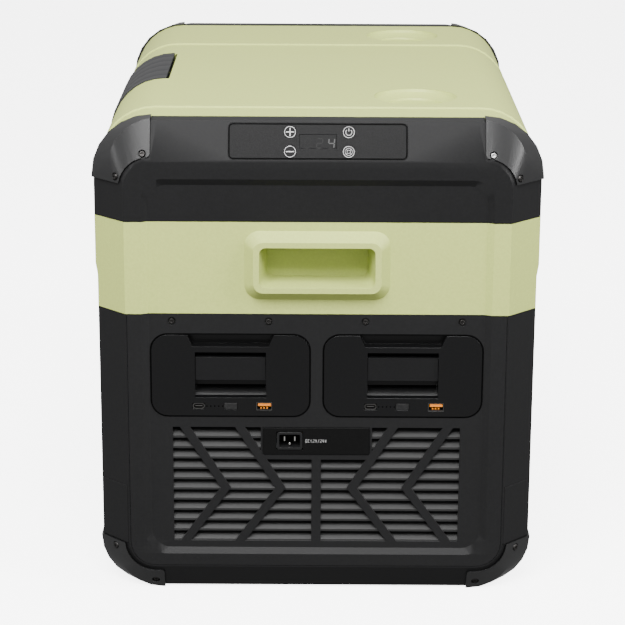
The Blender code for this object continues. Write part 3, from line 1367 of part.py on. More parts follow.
# ---------------------------------------------------------------- batteries

def make_battery_bay():
    """One tray with a pocket for each battery, open at the front."""
    front = FRONT + COVER_DEPTH + GAP
    back = front + BATTERY_LENGTH + 0.004
    half = BATTERY_SPACING / 2 + BATTERY_WIDTH / 2 + BAY_WALL
    bay = block((-half, front, BATTERY_LOW - BAY_WALL), (half, back, BATTERY_LOW + BATTERY_HEIGHT + BAY_WALL))
    for side in (-1, 1):
        cut(bay, prism(battery_outline(side), "Y", front - 0.01, back - BAY_WALL))
    finish(bay, "battery_bay", "black_plastic")


def port_block(x, half, half_height, y0, y1):
    """A rounded plate at the height of the battery's sockets."""
    outline = rounded_box_outline(half, -half_height, half_height, 0.0008, 0.0008, 2)
    return prism([(x + u, PORT_Z + w) for u, w in outline], "Y", y0, y1)


def latch_rod(middle, reach, radius, segments):
    """A rod along a battery latch's axis."""
    y = BATTERY_FRONT + LATCH_AXIS_DEPTH
    return rod((middle - reach, y, LATCH_AXIS_Z), (middle + reach, y, LATCH_AXIS_Z), radius, segments)


def make_battery_case(name, side):
    """The case, with a finger notch on top, a room for the latch and openings for the sockets."""
    middle, front = side * BATTERY_SPACING / 2, BATTERY_FRONT
    top = BATTERY_LOW + BATTERY_HEIGHT
    outside = front - 0.01
    case = prism(battery_outline(side, BATTERY_CLEARANCE), "Y", front, BATTERY_BACK)
    wide, narrow, sill = NOTCH_TOP_HALF, NOTCH_BOTTOM_HALF, top - NOTCH_DEPTH
    notch = prism([(middle - wide, top + 0.005), (middle - wide, top), (middle - narrow, sill),
                   (middle + narrow, sill), (middle + wide, top), (middle + wide, top + 0.005)],
                  "Y", outside, front + NOTCH_LENGTH)
    half = LATCH_HALF + LATCH_SIDE_GAP
    room = block((middle - half, outside, LATCH_LOW - 0.003),
                 (middle + half, front + LATCH_ROOM_DEPTH, LATCH_ROOM_HIGH))
    bend = FINGER_DEPTH / 2
    fingers = prism([(outside, LATCH_ROOM_LOW), (front + bend, LATCH_ROOM_LOW),
                     (front + FINGER_DEPTH, LATCH_ROOM_LOW + bend), (front + FINGER_DEPTH, LATCH_LOW + 0.012),
                     (outside, LATCH_LOW + 0.012)], "X", middle - half, middle + half)
    cut(case, notch, room, fingers)
    for x, half_width, half_height, depth in (USB_A, USB_C, BUTTON):
        cut(case, port_block(middle + x, half_width, half_height, outside, front + depth))
    cut(case, latch_rod(middle, half + 0.002, LATCH_STUB_RADIUS + GAP, 10))
    finish(case, name, "gloss_black", (middle, front, BATTERY_LOW + BATTERY_HEIGHT / 2))


def make_battery_latch(name, side):
    """The thumb plate under its barrel, with a stub at each end for the case's holes."""
    middle, front = side * BATTERY_SPACING / 2, BATTERY_FRONT + LATCH_PLATE_SET_BACK
    axis_y = BATTERY_FRONT + LATCH_AXIS_DEPTH
    plate = block((middle - LATCH_HALF, front, LATCH_LOW),
                  (middle + LATCH_HALF, front + LATCH_PLATE_THICKNESS, LATCH_AXIS_Z))
    web = block((middle - LATCH_HALF, front, LATCH_AXIS_Z - 0.0005),
                (middle + LATCH_HALF, axis_y, LATCH_AXIS_Z + LATCH_BARREL - SEAM))
    join(plate, latch_rod(middle, LATCH_HALF, LATCH_BARREL, 16), web,
         latch_rod(middle, LATCH_HALF + LATCH_STUB_LENGTH, LATCH_STUB_RADIUS, 10))
    finish(plate, name, "gloss_black", (middle, axis_y, LATCH_AXIS_Z))


def make_battery_ports(name, side):
    """The two socket shells and the charge button, each let into the case."""
    middle, front = side * BATTERY_SPACING / 2, BATTERY_FRONT
    x, half, half_height, depth = USB_A
    x += middle
    usb_a = port_block(x, half - GAP, half_height - GAP, front + GAP, front + depth - GAP)
    cut(usb_a, block((x - half + 0.001, front - 0.01, PORT_Z - 0.0033),
                     (x + half - 0.001, front + 0.010, PORT_Z + 0.0005)))
    finish(usb_a, f"{name}_usb_a", "orange_plastic")

    x, half, half_height, depth = USB_C
    x += middle
    usb_c = port_block(x, half - GAP, half_height - GAP, front + GAP, front + depth - GAP)
    cut(usb_c, block((x - 0.0045, front - 0.01, PORT_Z - 0.0016),
                     (x + 0.0045, front + 0.007, PORT_Z + 0.0016)))
    join(usb_c, block((x - 0.0034, front + 0.0015, PORT_Z - SEAM),
                      (x + 0.0034, front + 0.0075, PORT_Z + SEAM)))
    finish(usb_c, f"{name}_usb_c", "steel")

    x, half, half_height, depth = BUTTON
    button = port_block(middle + x, half - GAP, half_height - GAP, front, front + depth - 0.0016)
    finish(button, f"{name}_button", "grey_plastic", (middle, front, PORT_Z))


# ---------------------------------------------------------------- assembly

make_lower_shell()
make_front_cover()
make_cover_screws()
make_mid_band()
make_upper_frame()
make_guards()
make_inserts()
make_control_panel()
make_lid_cover()
make_lid_liner()
make_lid_gasket()
make_latch()
make_hinge_pins()
make_inner_liner()
make_evaporator()
make_foam()
make_compressor()
make_pipes()
make_condenser()
make_fan_frame()
make_fan_rotor()
make_power_board()
make_inlet()
make_battery_bay()
for battery, battery_sign in (("battery_left", -1), ("battery_right", 1)):
    make_battery_case(f"{battery}_case", battery_sign)
    make_battery_latch(f"{battery}_latch", battery_sign)
    make_battery_ports(battery, battery_sign)
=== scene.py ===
import math

import bmesh
import bpy
from mathutils import Matrix, Vector


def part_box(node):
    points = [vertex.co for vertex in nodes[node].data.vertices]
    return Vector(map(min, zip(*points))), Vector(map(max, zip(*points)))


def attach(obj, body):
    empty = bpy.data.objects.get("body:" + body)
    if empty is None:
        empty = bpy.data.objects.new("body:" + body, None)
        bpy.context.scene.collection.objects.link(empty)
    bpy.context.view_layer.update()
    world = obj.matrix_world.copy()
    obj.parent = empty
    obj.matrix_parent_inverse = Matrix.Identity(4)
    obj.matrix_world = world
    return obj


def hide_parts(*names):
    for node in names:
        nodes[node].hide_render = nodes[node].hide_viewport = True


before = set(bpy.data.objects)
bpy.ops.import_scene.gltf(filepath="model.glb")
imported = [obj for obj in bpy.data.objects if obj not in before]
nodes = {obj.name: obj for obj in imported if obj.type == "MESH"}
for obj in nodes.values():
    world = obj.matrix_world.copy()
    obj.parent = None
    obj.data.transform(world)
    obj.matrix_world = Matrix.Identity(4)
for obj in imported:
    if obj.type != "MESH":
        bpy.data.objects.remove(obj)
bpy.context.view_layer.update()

# ---------------------------------------------------------------------------
# Studio. A pale floor, one large soft light high in front, softer ones above and
# at the sides, and white surroundings that are dimmer below. The camera stands
# in front of the panel end and looks down at it a little.

front_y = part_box("front_cover")[0].y
CAMERA_SIDE, CAMERA_BACK, CAMERA_HEIGHT = -0.0024, 1.9559, 0.8596
CAMERA_TURN, CAMERA_DIP, CAMERA_ROLL = 0.0009, 0.2890, 0.0049
FLOOR_HALF_SIZE = 40.0

camera_data = bpy.data.cameras.new("camera")
camera_data.sensor_width = 36.0
camera_data.lens = 127.87
camera = bpy.data.objects.new("camera", camera_data)
camera.matrix_world = (
    Matrix.Translation((CAMERA_SIDE, front_y - CAMERA_BACK, CAMERA_HEIGHT))
    @ Matrix.Rotation(CAMERA_TURN, 4, "Z")
    @ Matrix.Rotation(math.pi / 2 - CAMERA_DIP, 4, "X")
    @ Matrix.Rotation(CAMERA_ROLL, 4, "Z"))
bpy.context.scene.collection.objects.link(camera)
bpy.context.scene.camera = camera

floor_mesh = bpy.data.meshes.new("studio_floor")
floor_shape = bmesh.new()
bmesh.ops.create_grid(floor_shape, x_segments=8, y_segments=8, size=FLOOR_HALF_SIZE)
floor_shape.to_mesh(floor_mesh)
floor_shape.free()
studio_floor = bpy.data.objects.new("studio_floor", floor_mesh)
bpy.context.scene.collection.objects.link(studio_floor)
floor_paint = bpy.data.materials.new("pale_floor")
floor_paint.use_nodes = True
floor_shader = floor_paint.node_tree.nodes["Principled BSDF"]
floor_shader.inputs["Base Color"].default_value = (0.86, 0.86, 0.86, 1)
floor_shader.inputs["Roughness"].default_value = 0.9
floor_shader.inputs["Specular IOR Level"].default_value = 0.1
floor_shader.inputs["Emission Color"].default_value = (1, 1, 1, 1)
floor_shader.inputs["Emission Strength"].default_value = 5.0
floor_mesh.materials.append(floor_paint)
studio_floor.visible_glossy = False
studio_floor.visible_diffuse = False


LIGHT_TARGET = Vector((0.0, 0.0, 0.3))


def soft_box(name, place, width, depth, power):
    """A rectangular soft light that faces the middle of the body."""
    data = bpy.data.lights.new(name, "AREA")
    data.shape = "RECTANGLE"
    data.size = width
    data.size_y = depth
    data.energy = power
    light = bpy.data.objects.new(name, data)
    aim = (LIGHT_TARGET - Vector(place)).to_track_quat("-Z", "Y").to_matrix().to_4x4()
    light.matrix_world = Matrix.Translation(place) @ aim
    bpy.context.scene.collection.objects.link(light)


soft_box("key_light", (-0.3, -1.9, 2.3), 1.9, 1.3, 200)
soft_box("overhead_light", (0.3, -0.3, 2.3), 1.6, 1.2, 9)
soft_box("right_light", (1.9, -1.0, 1.3), 0.6, 1.4, 52)
soft_box("left_light", (-1.9, -0.8, 1.1), 0.6, 1.4, 12)

surroundings = bpy.data.worlds.new("white_studio")
surroundings.use_nodes = True
sky_tree = surroundings.node_tree
sky_place = sky_tree.nodes.new("ShaderNodeTexCoord")
sky_axes = sky_tree.nodes.new("ShaderNodeSeparateXYZ")
sky_tree.links.new(sky_place.outputs["Generated"], sky_axes.inputs["Vector"])
sky_fade = sky_tree.nodes.new("ShaderNodeMapRange")
sky_fade.inputs["From Min"].default_value = -0.25
sky_fade.inputs["From Max"].default_value = 0.35
sky_fade.inputs["To Min"].default_value = 0.44
sky_fade.inputs["To Max"].default_value = 0.68
sky_tree.links.new(sky_axes.outputs["Z"], sky_fade.inputs["Value"])
sky_tree.links.new(sky_fade.outputs["Result"], sky_tree.nodes["Background"].inputs["Strength"])
sky_tree.nodes["Background"].inputs["Color"].default_value = (1, 1, 1, 1)
bpy.context.scene.world = surroundings

# ---------------------------------------------------------------------------
# Black mouldings: lower shell, upper frame with both end caps, service cover and
# chamfer inserts. Injection-moulded ABS with a fine spark-eroded grain.


def moulded_plastic(name, colour, roughness, specular=0.16, grain=0.00005, fleck=0.12,
                    fleck_scale=420):
    """Grained plastic: a fine bump, a slow change of gloss and faint lighter flecks."""
    paint = bpy.data.materials.new(name)
    paint.use_nodes = True
    tree = paint.node_tree
    shader = tree.nodes["Principled BSDF"]
    shader.inputs["Specular IOR Level"].default_value = specular
    place = tree.nodes.new("ShaderNodeTexCoord")

    grain_noise = tree.nodes.new("ShaderNodeTexNoise")
    grain_noise.inputs["Scale"].default_value = 1100
    grain_noise.inputs["Detail"].default_value = 2
    tree.links.new(place.outputs["Object"], grain_noise.inputs["Vector"])
    bump = tree.nodes.new("ShaderNodeBump")
    bump.inputs["Strength"].default_value = 0.6
    bump.inputs["Distance"].default_value = grain
    tree.links.new(grain_noise.outputs["Fac"], bump.inputs["Height"])
    tree.links.new(bump.outputs["Normal"], shader.inputs["Normal"])

    slow = tree.nodes.new("ShaderNodeTexNoise")
    slow.inputs["Scale"].default_value = 9
    slow.inputs["Detail"].default_value = 3
    tree.links.new(place.outputs["Object"], slow.inputs["Vector"])
    gloss = tree.nodes.new("ShaderNodeMapRange")
    gloss.inputs["To Min"].default_value = roughness - 0.06
    gloss.inputs["To Max"].default_value = roughness + 0.06
    tree.links.new(slow.outputs["Fac"], gloss.inputs["Value"])
    tree.links.new(gloss.outputs["Result"], shader.inputs["Roughness"])

    flecks = tree.nodes.new("ShaderNodeTexNoise")
    flecks.inputs["Scale"].default_value = fleck_scale
    flecks.inputs["Detail"].default_value = 4
    flecks.inputs["Roughness"].default_value = 0.75
    tree.links.new(place.outputs["Object"], flecks.inputs["Vector"])
    tint = tree.nodes.new("ShaderNodeValToRGB")
    tint.color_ramp.elements[0].position = 0.38
    tint.color_ramp.elements[0].color = (*[c * (1 - fleck) for c in colour], 1)
    tint.color_ramp.elements[1].position = 0.66
    tint.color_ramp.elements[1].color = (*[c * (1 + fleck) for c in colour], 1)
    tree.links.new(flecks.outputs["Fac"], tint.inputs["Fac"])
    tree.links.new(tint.outputs["Color"], shader.inputs["Base Color"])
    return paint


def dress(node_names, paint, edge=0.0005, merge_flats=True):
    """Give CAD nodes a finish, and break their sharp edges by the width of edge."""
    for name in node_names:
        node = nodes[name]
        node.data.materials.clear()
        node.data.materials.append(paint)
        node.data.polygons.foreach_set("material_index", [0] * len(node.data.polygons))
        node.data.shade_smooth()
        if "custom_normal" in node.data.attributes:
            node.data.attributes.remove(node.data.attributes["custom_normal"])
        weld = node.modifiers.new("weld", "WELD")
        weld.merge_threshold = 0.000005
        if merge_flats:
            flats = node.modifiers.new("flats", "DECIMATE")
            flats.decimate_type = "DISSOLVE"
            flats.angle_limit = math.radians(0.5)
        rounding = node.modifiers.new("edge", "BEVEL")
        rounding.width = edge
        rounding.segments = 2
        rounding.limit_method = "ANGLE"
        rounding.angle_limit = math.radians(24)
        rounding.use_clamp_overlap = True
        shading = node.modifiers.new("shading", "WEIGHTED_NORMAL")
        shading.weight = 60


black_abs = moulded_plastic("black_abs", (0.0080, 0.0080, 0.0083), 0.46, specular=0.16)
dress(["lower_shell", "upper_frame", "corner_insert_left", "corner_insert_right"], black_abs)


def tint_behind(paint, y, colour, blend=0.0004):
    """Change a finish to another colour for what lies further back than y."""
    tree = paint.node_tree
    shader = tree.nodes["Principled BSDF"]
    outer = shader.inputs["Base Color"].links[0].from_socket
    place = tree.nodes.new("ShaderNodeTexCoord")
    axes = tree.nodes.new("ShaderNodeSeparateXYZ")
    tree.links.new(place.outputs["Object"], axes.inputs["Vector"])
    depth = tree.nodes.new("ShaderNodeMapRange")
    depth.inputs["From Min"].default_value = y - blend
    depth.inputs["From Max"].default_value = y + blend
    tree.links.new(axes.outputs["Y"], depth.inputs["Value"])
    mix = tree.nodes.new("ShaderNodeMix")
    mix.data_type = "RGBA"
    mix.inputs["B"].default_value = (*colour, 1)
    tree.links.new(depth.outputs["Result"], mix.inputs["Factor"])
    tree.links.new(outer, mix.inputs["A"])
    tree.links.new(mix.outputs["Result"], shader.inputs["Base Color"])


# Everything of the service cover further back than SLAT_FRONT, chiefly the louvre slats, is painted a
# lighter grey: painted light for the light falling on the slats' upward-facing blades.
SLAT_FRONT = 0.0036
cover_abs_painted_slat_light = moulded_plastic("cover_abs_painted_slat_light", (0.0080, 0.0080, 0.0083), 0.46, specular=0.22)
tint_behind(cover_abs_painted_slat_light, front_y + SLAT_FRONT, (0.0175, 0.0175, 0.0175))
dress(["front_cover"], cover_abs_painted_slat_light, edge=0.0003, merge_flats=False)

# ---------------------------------------------------------------------------
# Corner guards. Eight separate caps of tougher black plastic wrapped over the
# corners of the cabinet; each is held by self-tapping screws.

guard_plastic = moulded_plastic("guard_plastic", (0.0090, 0.0090, 0.0093), 0.34, specular=0.48)
guards = [name for name in nodes if "_guard_" in name]
dress(guards, guard_plastic, edge=0.0009)

# ---------------------------------------------------------------------------
# Green mouldings: the band round the cabinet with its two pocket handles, and
# the lid's cover. The same ABS, coloured in the mass, with a dusty fine grain.

green_abs = moulded_plastic("green_abs", (0.415, 0.475, 0.130), 0.46, specular=0.38, fleck=0.05)
dress(["mid_band", "lid_cover"], green_abs, edge=0.0011)

# ---------------------------------------------------------------------------
# Screws. Pan heads with a cross recess: blackened steel in the service cover and
# the guards, with one plain zinc one at the upper right. Turned and pressed.


def metal(name, colour, roughness, streak=0.10):
    """Metal with fine wear: patches that are duller and a faint grain."""
    paint = bpy.data.materials.new(name)
    paint.use_nodes = True
    tree = paint.node_tree
    shader = tree.nodes["Principled BSDF"]
    shader.inputs["Metallic"].default_value = 1.0
    place = tree.nodes.new("ShaderNodeTexCoord")
    wear = tree.nodes.new("ShaderNodeTexNoise")
    wear.inputs["Scale"].default_value = 260
    wear.inputs["Detail"].default_value = 5
    tree.links.new(place.outputs["Object"], wear.inputs["Vector"])
    dull = tree.nodes.new("ShaderNodeMapRange")
    dull.inputs["To Min"].default_value = roughness - 0.08
    dull.inputs["To Max"].default_value = roughness + 0.12
    tree.links.new(wear.outputs["Fac"], dull.inputs["Value"])
    tree.links.new(dull.outputs["Result"], shader.inputs["Roughness"])
    shade = tree.nodes.new("ShaderNodeValToRGB")
    shade.color_ramp.elements[0].position = 0.3
    shade.color_ramp.elements[0].color = (*[c * (1 - streak) for c in colour], 1)
    shade.color_ramp.elements[1].position = 0.7
    shade.color_ramp.elements[1].color = (*[c * (1 + streak) for c in colour], 1)
    tree.links.new(wear.outputs["Fac"], shade.inputs["Fac"])
    tree.links.new(shade.outputs["Color"], shader.inputs["Base Color"])
    dent = tree.nodes.new("ShaderNodeBump")
    dent.inputs["Strength"].default_value = 0.3
    dent.inputs["Distance"].default_value = 0.00003
    tree.links.new(wear.outputs["Fac"], dent.inputs["Height"])
    tree.links.new(dent.outputs["Normal"], shader.inputs["Normal"])
    return paint


dark_screw_steel = metal("dark_screw_steel", (0.045, 0.043, 0.042), 0.42)
zinc_steel = metal("zinc_steel", (0.34, 0.335, 0.33), 0.34)
dark_screws = [name for name in nodes if "_screw_" in name and name != "guard_screw_right_1"]
dress(dark_screws, dark_screw_steel, edge=0.00015, merge_flats=False)
dress(["guard_screw_right_1"], zinc_steel, edge=0.00015, merge_flats=False)


def new_piece(name, shape, paint, body):
    """Add a piece made in bmesh, with its finish, and let it ride on a body."""
    bmesh.ops.recalc_face_normals(shape, faces=shape.faces)
    mesh = bpy.data.meshes.new(name)
    shape.to_mesh(mesh)
    shape.free()
    mesh.materials.append(paint)
    piece = bpy.data.objects.new(name, mesh)
    bpy.context.scene.collection.objects.link(piece)
    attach(piece, body)
    return piece


def stack_rings(shape, rings, place):
    """Join rings of points of equal count into one closed skin, capped at both ends."""
    loops = [[shape.verts.new(place @ Vector(point)) for point in ring] for ring in rings]
    for lower, upper in zip(loops, loops[1:]):
        for i in range(len(lower)):
            j = (i + 1) % len(lower)
            shape.faces.new((lower[i], lower[j], upper[j], upper[i]))
    shape.faces.new(loops[0])
    shape.faces.new(loops[-1])


SCREW_HEAD_RADIUS, SCREW_HEAD_HEIGHT = 0.0032, 0.0018
SHANK_RADIUS, SHANK_LENGTH = 0.0015, 0.0065
TIP_RADIUS, TIP_LENGTH = 0.0006, 0.0020
CROSS_REACH, CROSS_HALF_WIDTH, CROSS_DEPTH = 0.0016, 0.00035, 0.0009
CROSS_FLANK = math.radians(27)


def cross_outline():
    """The recess seen from above: (angle, distance) going once round."""
    tip = math.atan2(CROSS_HALF_WIDTH, CROSS_REACH)
    corner = math.hypot(CROSS_REACH, CROSS_HALF_WIDTH)
    throat = CROSS_HALF_WIDTH / math.sin(CROSS_FLANK)
    quarter = [(0.0, CROSS_REACH), (tip, corner), (CROSS_FLANK, throat),
               (math.pi / 4, CROSS_HALF_WIDTH * math.sqrt(2)),
               (math.pi / 2 - CROSS_FLANK, throat), (math.pi / 2 - tip, corner)]
    return [(turn * math.pi / 2 + angle, reach) for turn in range(4) for angle, reach in quarter]


def phillips_screw(name, seat, inward, body):
    """A screw whose head bears on seat and whose shank points inward."""
    outward = -Vector(inward).normalized()
    place = Matrix.Translation(seat) @ outward.to_track_quat("Z", "Y").to_matrix().to_4x4()
    star = cross_outline()

    def circle(radius, height):
        return [(radius * math.cos(angle), radius * math.sin(angle), height) for angle, _ in star]

    shape = bmesh.new()
    top = SCREW_HEAD_HEIGHT
    rings = [circle(TIP_RADIUS, -SHANK_LENGTH - TIP_LENGTH), circle(SHANK_RADIUS, -SHANK_LENGTH),
             circle(SHANK_RADIUS, 0.0), circle(SCREW_HEAD_RADIUS, 0.0),
             circle(SCREW_HEAD_RADIUS, 0.45 * top), circle(0.92 * SCREW_HEAD_RADIUS, 0.80 * top),
             circle(0.70 * SCREW_HEAD_RADIUS, top)]
    for height in (top, top - CROSS_DEPTH):
        rings.append([(reach * math.cos(angle), reach * math.sin(angle), height)
                      for angle, reach in star])
    stack_rings(shape, rings, place)
    return new_piece(name, shape, dark_screw_steel, body)


# The two at each lower corner and at each rear upper corner: one on the slanted
# strip and one on the chamfer. Seats are measured inward from the outer corner of
# the guard's box, and slopes are those of the guards' own holes.
UPPER_STRIP_SLOPE, LOWER_STRIP_SLOPE = 0.3453, 0.5274
guard_seats = {
    "upper_strip": ((0.0488, 0.007665, 0.0318), (0, -1, -UPPER_STRIP_SLOPE)),
    "upper_chamfer": ((0.0243, 0.005965, 0.0530), (-1, -1, 0)),
    "lower_strip": ((0.0528, 0.009031, 0.0100), (0, -1, LOWER_STRIP_SLOPE)),
    "lower_chamfer": ((0.0153, 0.012231, 0.0420), (-1, -1, 0)),
}
for screw_name, (inset, inward) in guard_seats.items():
    level = screw_name.split("_")[0]
    for end_name, end in (("front", -1), ("rear", 1)):
        if (level, end_name) == ("upper", "front"):
            continue
        for side_name, side in (("left", -1), ("right", 1)):
            low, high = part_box(f"{level}_guard_{end_name}_{side_name}")
            seat = ((low.x if side < 0 else high.x) - side * inset[0],
                    (low.y if end < 0 else high.y) - end * inset[1],
                    high.z - inset[2] if level == "upper" else low.z + inset[2])
            phillips_screw(f"{screw_name}_screw_{end_name}_{side_name}", seat,
                           (side * inward[0], end * inward[1], inward[2]), "cabinet")

# ---------------------------------------------------------------------------
# Control fascia and display. A smoked film on a black plate that sits in a
# groove of the slanted strip, with white printed rings over four keys.

fascia_film = moulded_plastic("fascia_film", (0.0060, 0.0060, 0.0062), 0.38, specular=0.11,
                              grain=0.00002, fleck=0.5, fleck_scale=900)
dress(["control_fascia", "key_plus", "key_minus", "key_power", "key_eco", "display_board"],
      fascia_film, edge=0.00005, merge_flats=False)

# Near-black, barely glossy plastic for the pieces that stand for shade in gaps and slots: painted shade.
gap_shade_black = moulded_plastic("gap_shade_black", (0.0012, 0.0012, 0.0012), 0.7, specular=0.03)
white_ink = moulded_plastic("white_ink", (0.50, 0.50, 0.50), 0.45, specular=0.2,
                            grain=0.00001, fleck=0.08)

STRIP_RUN, STRIP_RISE = 0.0125, 0.0362
FASCIA_HALF_WIDTH, FASCIA_HALF_HEIGHT, FASCIA_CORNER = 0.0807, 0.0165, 0.0042
INK_LOW, INK_HIGH = 0.0001, 0.00003
strip_slant = math.atan2(STRIP_RUN, STRIP_RISE)
fascia_low, fascia_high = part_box("control_fascia")
panel_place = (
    Matrix.Translation((0, fascia_low.y + FASCIA_HALF_HEIGHT * math.sin(strip_slant),
                        fascia_high.z - FASCIA_HALF_HEIGHT * math.cos(strip_slant)))
    @ Matrix.Rotation(-strip_slant, 4, "X"))


def ink_ring(shape, x, z, outer, inner, start=0.0, end=360.0, steps=40):
    """A printed ring, or a part of one, on the panel; angles in degrees from the right."""
    whole = end - start >= 360
    count = steps if whole else steps + 1
    profile = ((outer, INK_LOW), (outer, INK_HIGH), (inner, INK_HIGH), (inner, INK_LOW))
    corners = []
    for i in range(count):
        angle = math.radians(start + (end - start) * i / steps)
        section = [(x + radius * math.cos(angle), depth, z + radius * math.sin(angle))
                   for radius, depth in profile]
        corners.append([shape.verts.new(panel_place @ Vector(point)) for point in section])
    for i in range(count if whole else count - 1):
        here, following = corners[i], corners[(i + 1) % count]
        for j in range(4):
            k = (j + 1) % 4
            shape.faces.new((here[j], here[k], following[k], following[j]))
    if not whole:
        shape.faces.new(corners[0])
        shape.faces.new(corners[-1])


def ink_bar(shape, start, end, width, low=INK_LOW, high=INK_HIGH, pointed=False):
    """A printed stroke between two points of the panel, square or pointed at its ends."""
    start, end = Vector(start), Vector(end)
    along = (end - start).normalized()
    across = Vector((-along.y, along.x)) * width / 2
    if pointed:
        back = along * width / 2
        outline = [start, start + back + across, end - back + across, end,
                   end - back - across, start + back - across]
    else:
        outline = [start + across, end + across, end - across, start - across]
    rings = [[(point.x, depth, point.y) for point in outline] for depth in (low, high)]
    stack_rings(shape, rings, panel_place)


def rounded_outline(half_width, half_height, radius, steps=5):
    """A rounded rectangle about the origin, as (across, up), going once round."""
    outline = []
    for sign_x, sign_z, start in ((1, 1, 0), (-1, 1, 90), (-1, -1, 180), (1, -1, 270)):
        for i in range(steps + 1):
            angle = math.radians(start + 90 * i / steps)
            outline.append((sign_x * (half_width - radius) + radius * math.cos(angle),
                            sign_z * (half_height - radius) + radius * math.sin(angle)))
    return outline


def frame_strip(shape, outer, inner, front, back, place):
    """A flat closed frame between two outlines of equal count, with depths along its own Y."""
    loops = []
    for outline, depth in ((outer, back), (outer, front), (inner, front), (inner, back)):
        loops.append([shape.verts.new(place @ Vector((x, depth, z))) for x, z in outline])
    for here, following in zip(loops, loops[1:] + loops[:1]):
        for i in range(len(here)):
            j = (i + 1) % len(here)
            shape.faces.new((here[i], here[j], following[j], following[i]))


# A near-black ring along the fascia's edge is painted shade: it stands for the shadow in the groove that
# the plate sits in.
GROOVE_WIDTH, GROOVE_INSET = 0.0011, 0.0003
GROOVE_FRONT, GROOVE_BACK = -0.00006, 0.0002
groove_half_height = FASCIA_HALF_HEIGHT - GROOVE_INSET
groove = bmesh.new()
frame_strip(groove, rounded_outline(FASCIA_HALF_WIDTH, groove_half_height, FASCIA_CORNER),
            rounded_outline(FASCIA_HALF_WIDTH - GROOVE_WIDTH, groove_half_height - GROOVE_WIDTH,
                            FASCIA_CORNER - GROOVE_WIDTH),
            GROOVE_FRONT, GROOVE_BACK, panel_place)
new_piece("fascia_groove_shade", groove, gap_shade_black, "cabinet")

RING_OUTER, RING_INNER = 0.0052, 0.00475
SIGN_REACH, SIGN_GAP, SIGN_STROKE = 0.0038, 0.0004, 0.0008
icon_places = {"plus": (-0.0252, 0.0085), "minus": (-0.0252, -0.0093),
               "power": (0.0278, 0.0085), "eco": (0.0278, -0.0093)}
for icon, (x, z) in icon_places.items():
    shape = bmesh.new()
    ink_ring(shape, x, z, RING_OUTER, RING_INNER)
    if icon in ("plus", "minus"):
        ink_bar(shape, (x - SIGN_REACH, z), (x + SIGN_REACH, z), SIGN_STROKE)
    if icon == "plus":
        for reach in (-1, 1):
            ink_bar(shape, (x, z + reach * SIGN_GAP), (x, z + reach * SIGN_REACH), SIGN_STROKE)
    if icon == "power":
        ink_ring(shape, x, z - 0.0001, 0.0030, 0.0025, 130, 410, 28)
        ink_bar(shape, (x, z + 0.0008), (x, z + 0.0034), 0.0006)
    if icon == "eco":
        ink_ring(shape, x, z, 0.0034, 0.0031)
        ink_ring(shape, x, z, 0.0017, 0.0014, steps=20)
        for turn in range(4):
            angle = math.radians(90 * turn + 45)
            spoke = Vector((math.cos(angle), math.sin(angle)))
            middle = Vector((x, z))
            ink_bar(shape, middle + spoke * 0.0018, middle + spoke * 0.0030, 0.0003)
    new_piece(f"icon_{icon}", shape, white_ink, f"key_{icon}")


def lit_segment(name, colour, strength):
    """A display segment: faintly uneven, glowing through the smoked film."""
    paint = bpy.data.materials.new(name)
    paint.use_nodes = True
    tree = paint.node_tree
    shader = tree.nodes["Principled BSDF"]
    shader.inputs["Base Color"].default_value = (0.006, 0.006, 0.006, 1)
    shader.inputs["Roughness"].default_value = 0.4
    shader.inputs["Specular IOR Level"].default_value = 0.11
    place = tree.nodes.new("ShaderNodeTexCoord")
    haze = tree.nodes.new("ShaderNodeTexNoise")
    haze.inputs["Scale"].default_value = 700
    tree.links.new(place.outputs["Object"], haze.inputs["Vector"])
    glow = tree.nodes.new("ShaderNodeValToRGB")
    glow.color_ramp.elements[0].position = 0.25
    glow.color_ramp.elements[0].color = (*[c * 0.7 for c in colour], 1)
    glow.color_ramp.elements[1].position = 0.75
    glow.color_ramp.elements[1].color = (*colour, 1)
    tree.links.new(haze.outputs["Fac"], glow.inputs["Fac"])
    tree.links.new(glow.outputs["Color"], shader.inputs["Emission Color"])
    shader.inputs["Emission Strength"].default_value = strength
    return paint


DIGIT_WIDTH, DIGIT_HEIGHT, DIGIT_LEAN, DIGIT_DROP = 0.0050, 0.0086, 0.10, 0.0017
SEGMENT_STROKE, SEGMENT_BACK, SEGMENT_FRONT = 0.0011, 0.0003, 0.00022
SEGMENTS = {"a": ((0, 1), (1, 1)), "b": ((1, 1), (1, 0.5)), "c": ((1, 0.5), (1, 0)),
            "d": ((1, 0), (0, 0)), "e": ((0, 0), (0, 0.5)), "f": ((0, 0.5), (0, 1)),
            "g": ((0, 0.5), (1, 0.5))}
# The unlit segments glow faintly too: painted light standing for their pale faces seen through the film.
segment_off = lit_segment("segment_off", (0.5, 0.5, 0.5), 0.006)
segment_low = lit_segment("segment_low", (0.6, 0.6, 0.6), 0.040)
segment_lit = lit_segment("segment_lit", (0.85, 0.85, 0.85), 0.26)
digits = (("first", -0.0093, "", segment_off), ("second", 0.0015, "abged", segment_low),
          ("third", 0.0122, "fgbc", segment_lit))
for place_name, x, lit, paint in digits:
    for state, letters in (("lit", lit), ("unlit", "".join(s for s in "abcdefg" if s not in lit))):
        if not letters:
            continue
        shape = bmesh.new()
        for letter in letters:
            ends = []
            for along, up in SEGMENTS[letter]:
                height = (up - 0.5) * DIGIT_HEIGHT
                ends.append(Vector((x + (along - 0.5) * DIGIT_WIDTH + DIGIT_LEAN * height,
                                    height - DIGIT_DROP)))
            inset = (ends[1] - ends[0]).normalized() * SEGMENT_STROKE * 0.12
            ink_bar(shape, ends[0] + inset, ends[1] - inset, SEGMENT_STROKE,
                    SEGMENT_BACK, SEGMENT_FRONT, pointed=True)
        new_piece(f"digit_{place_name}_{state}", shape, paint if state == "lit" else segment_off,
                  "cabinet")

# ---------------------------------------------------------------------------
# Batteries. Two slide-in packs in smoother, glossier black plastic, each with a
# sprung thumb latch, a test button, a row of pilot lights and two sockets.

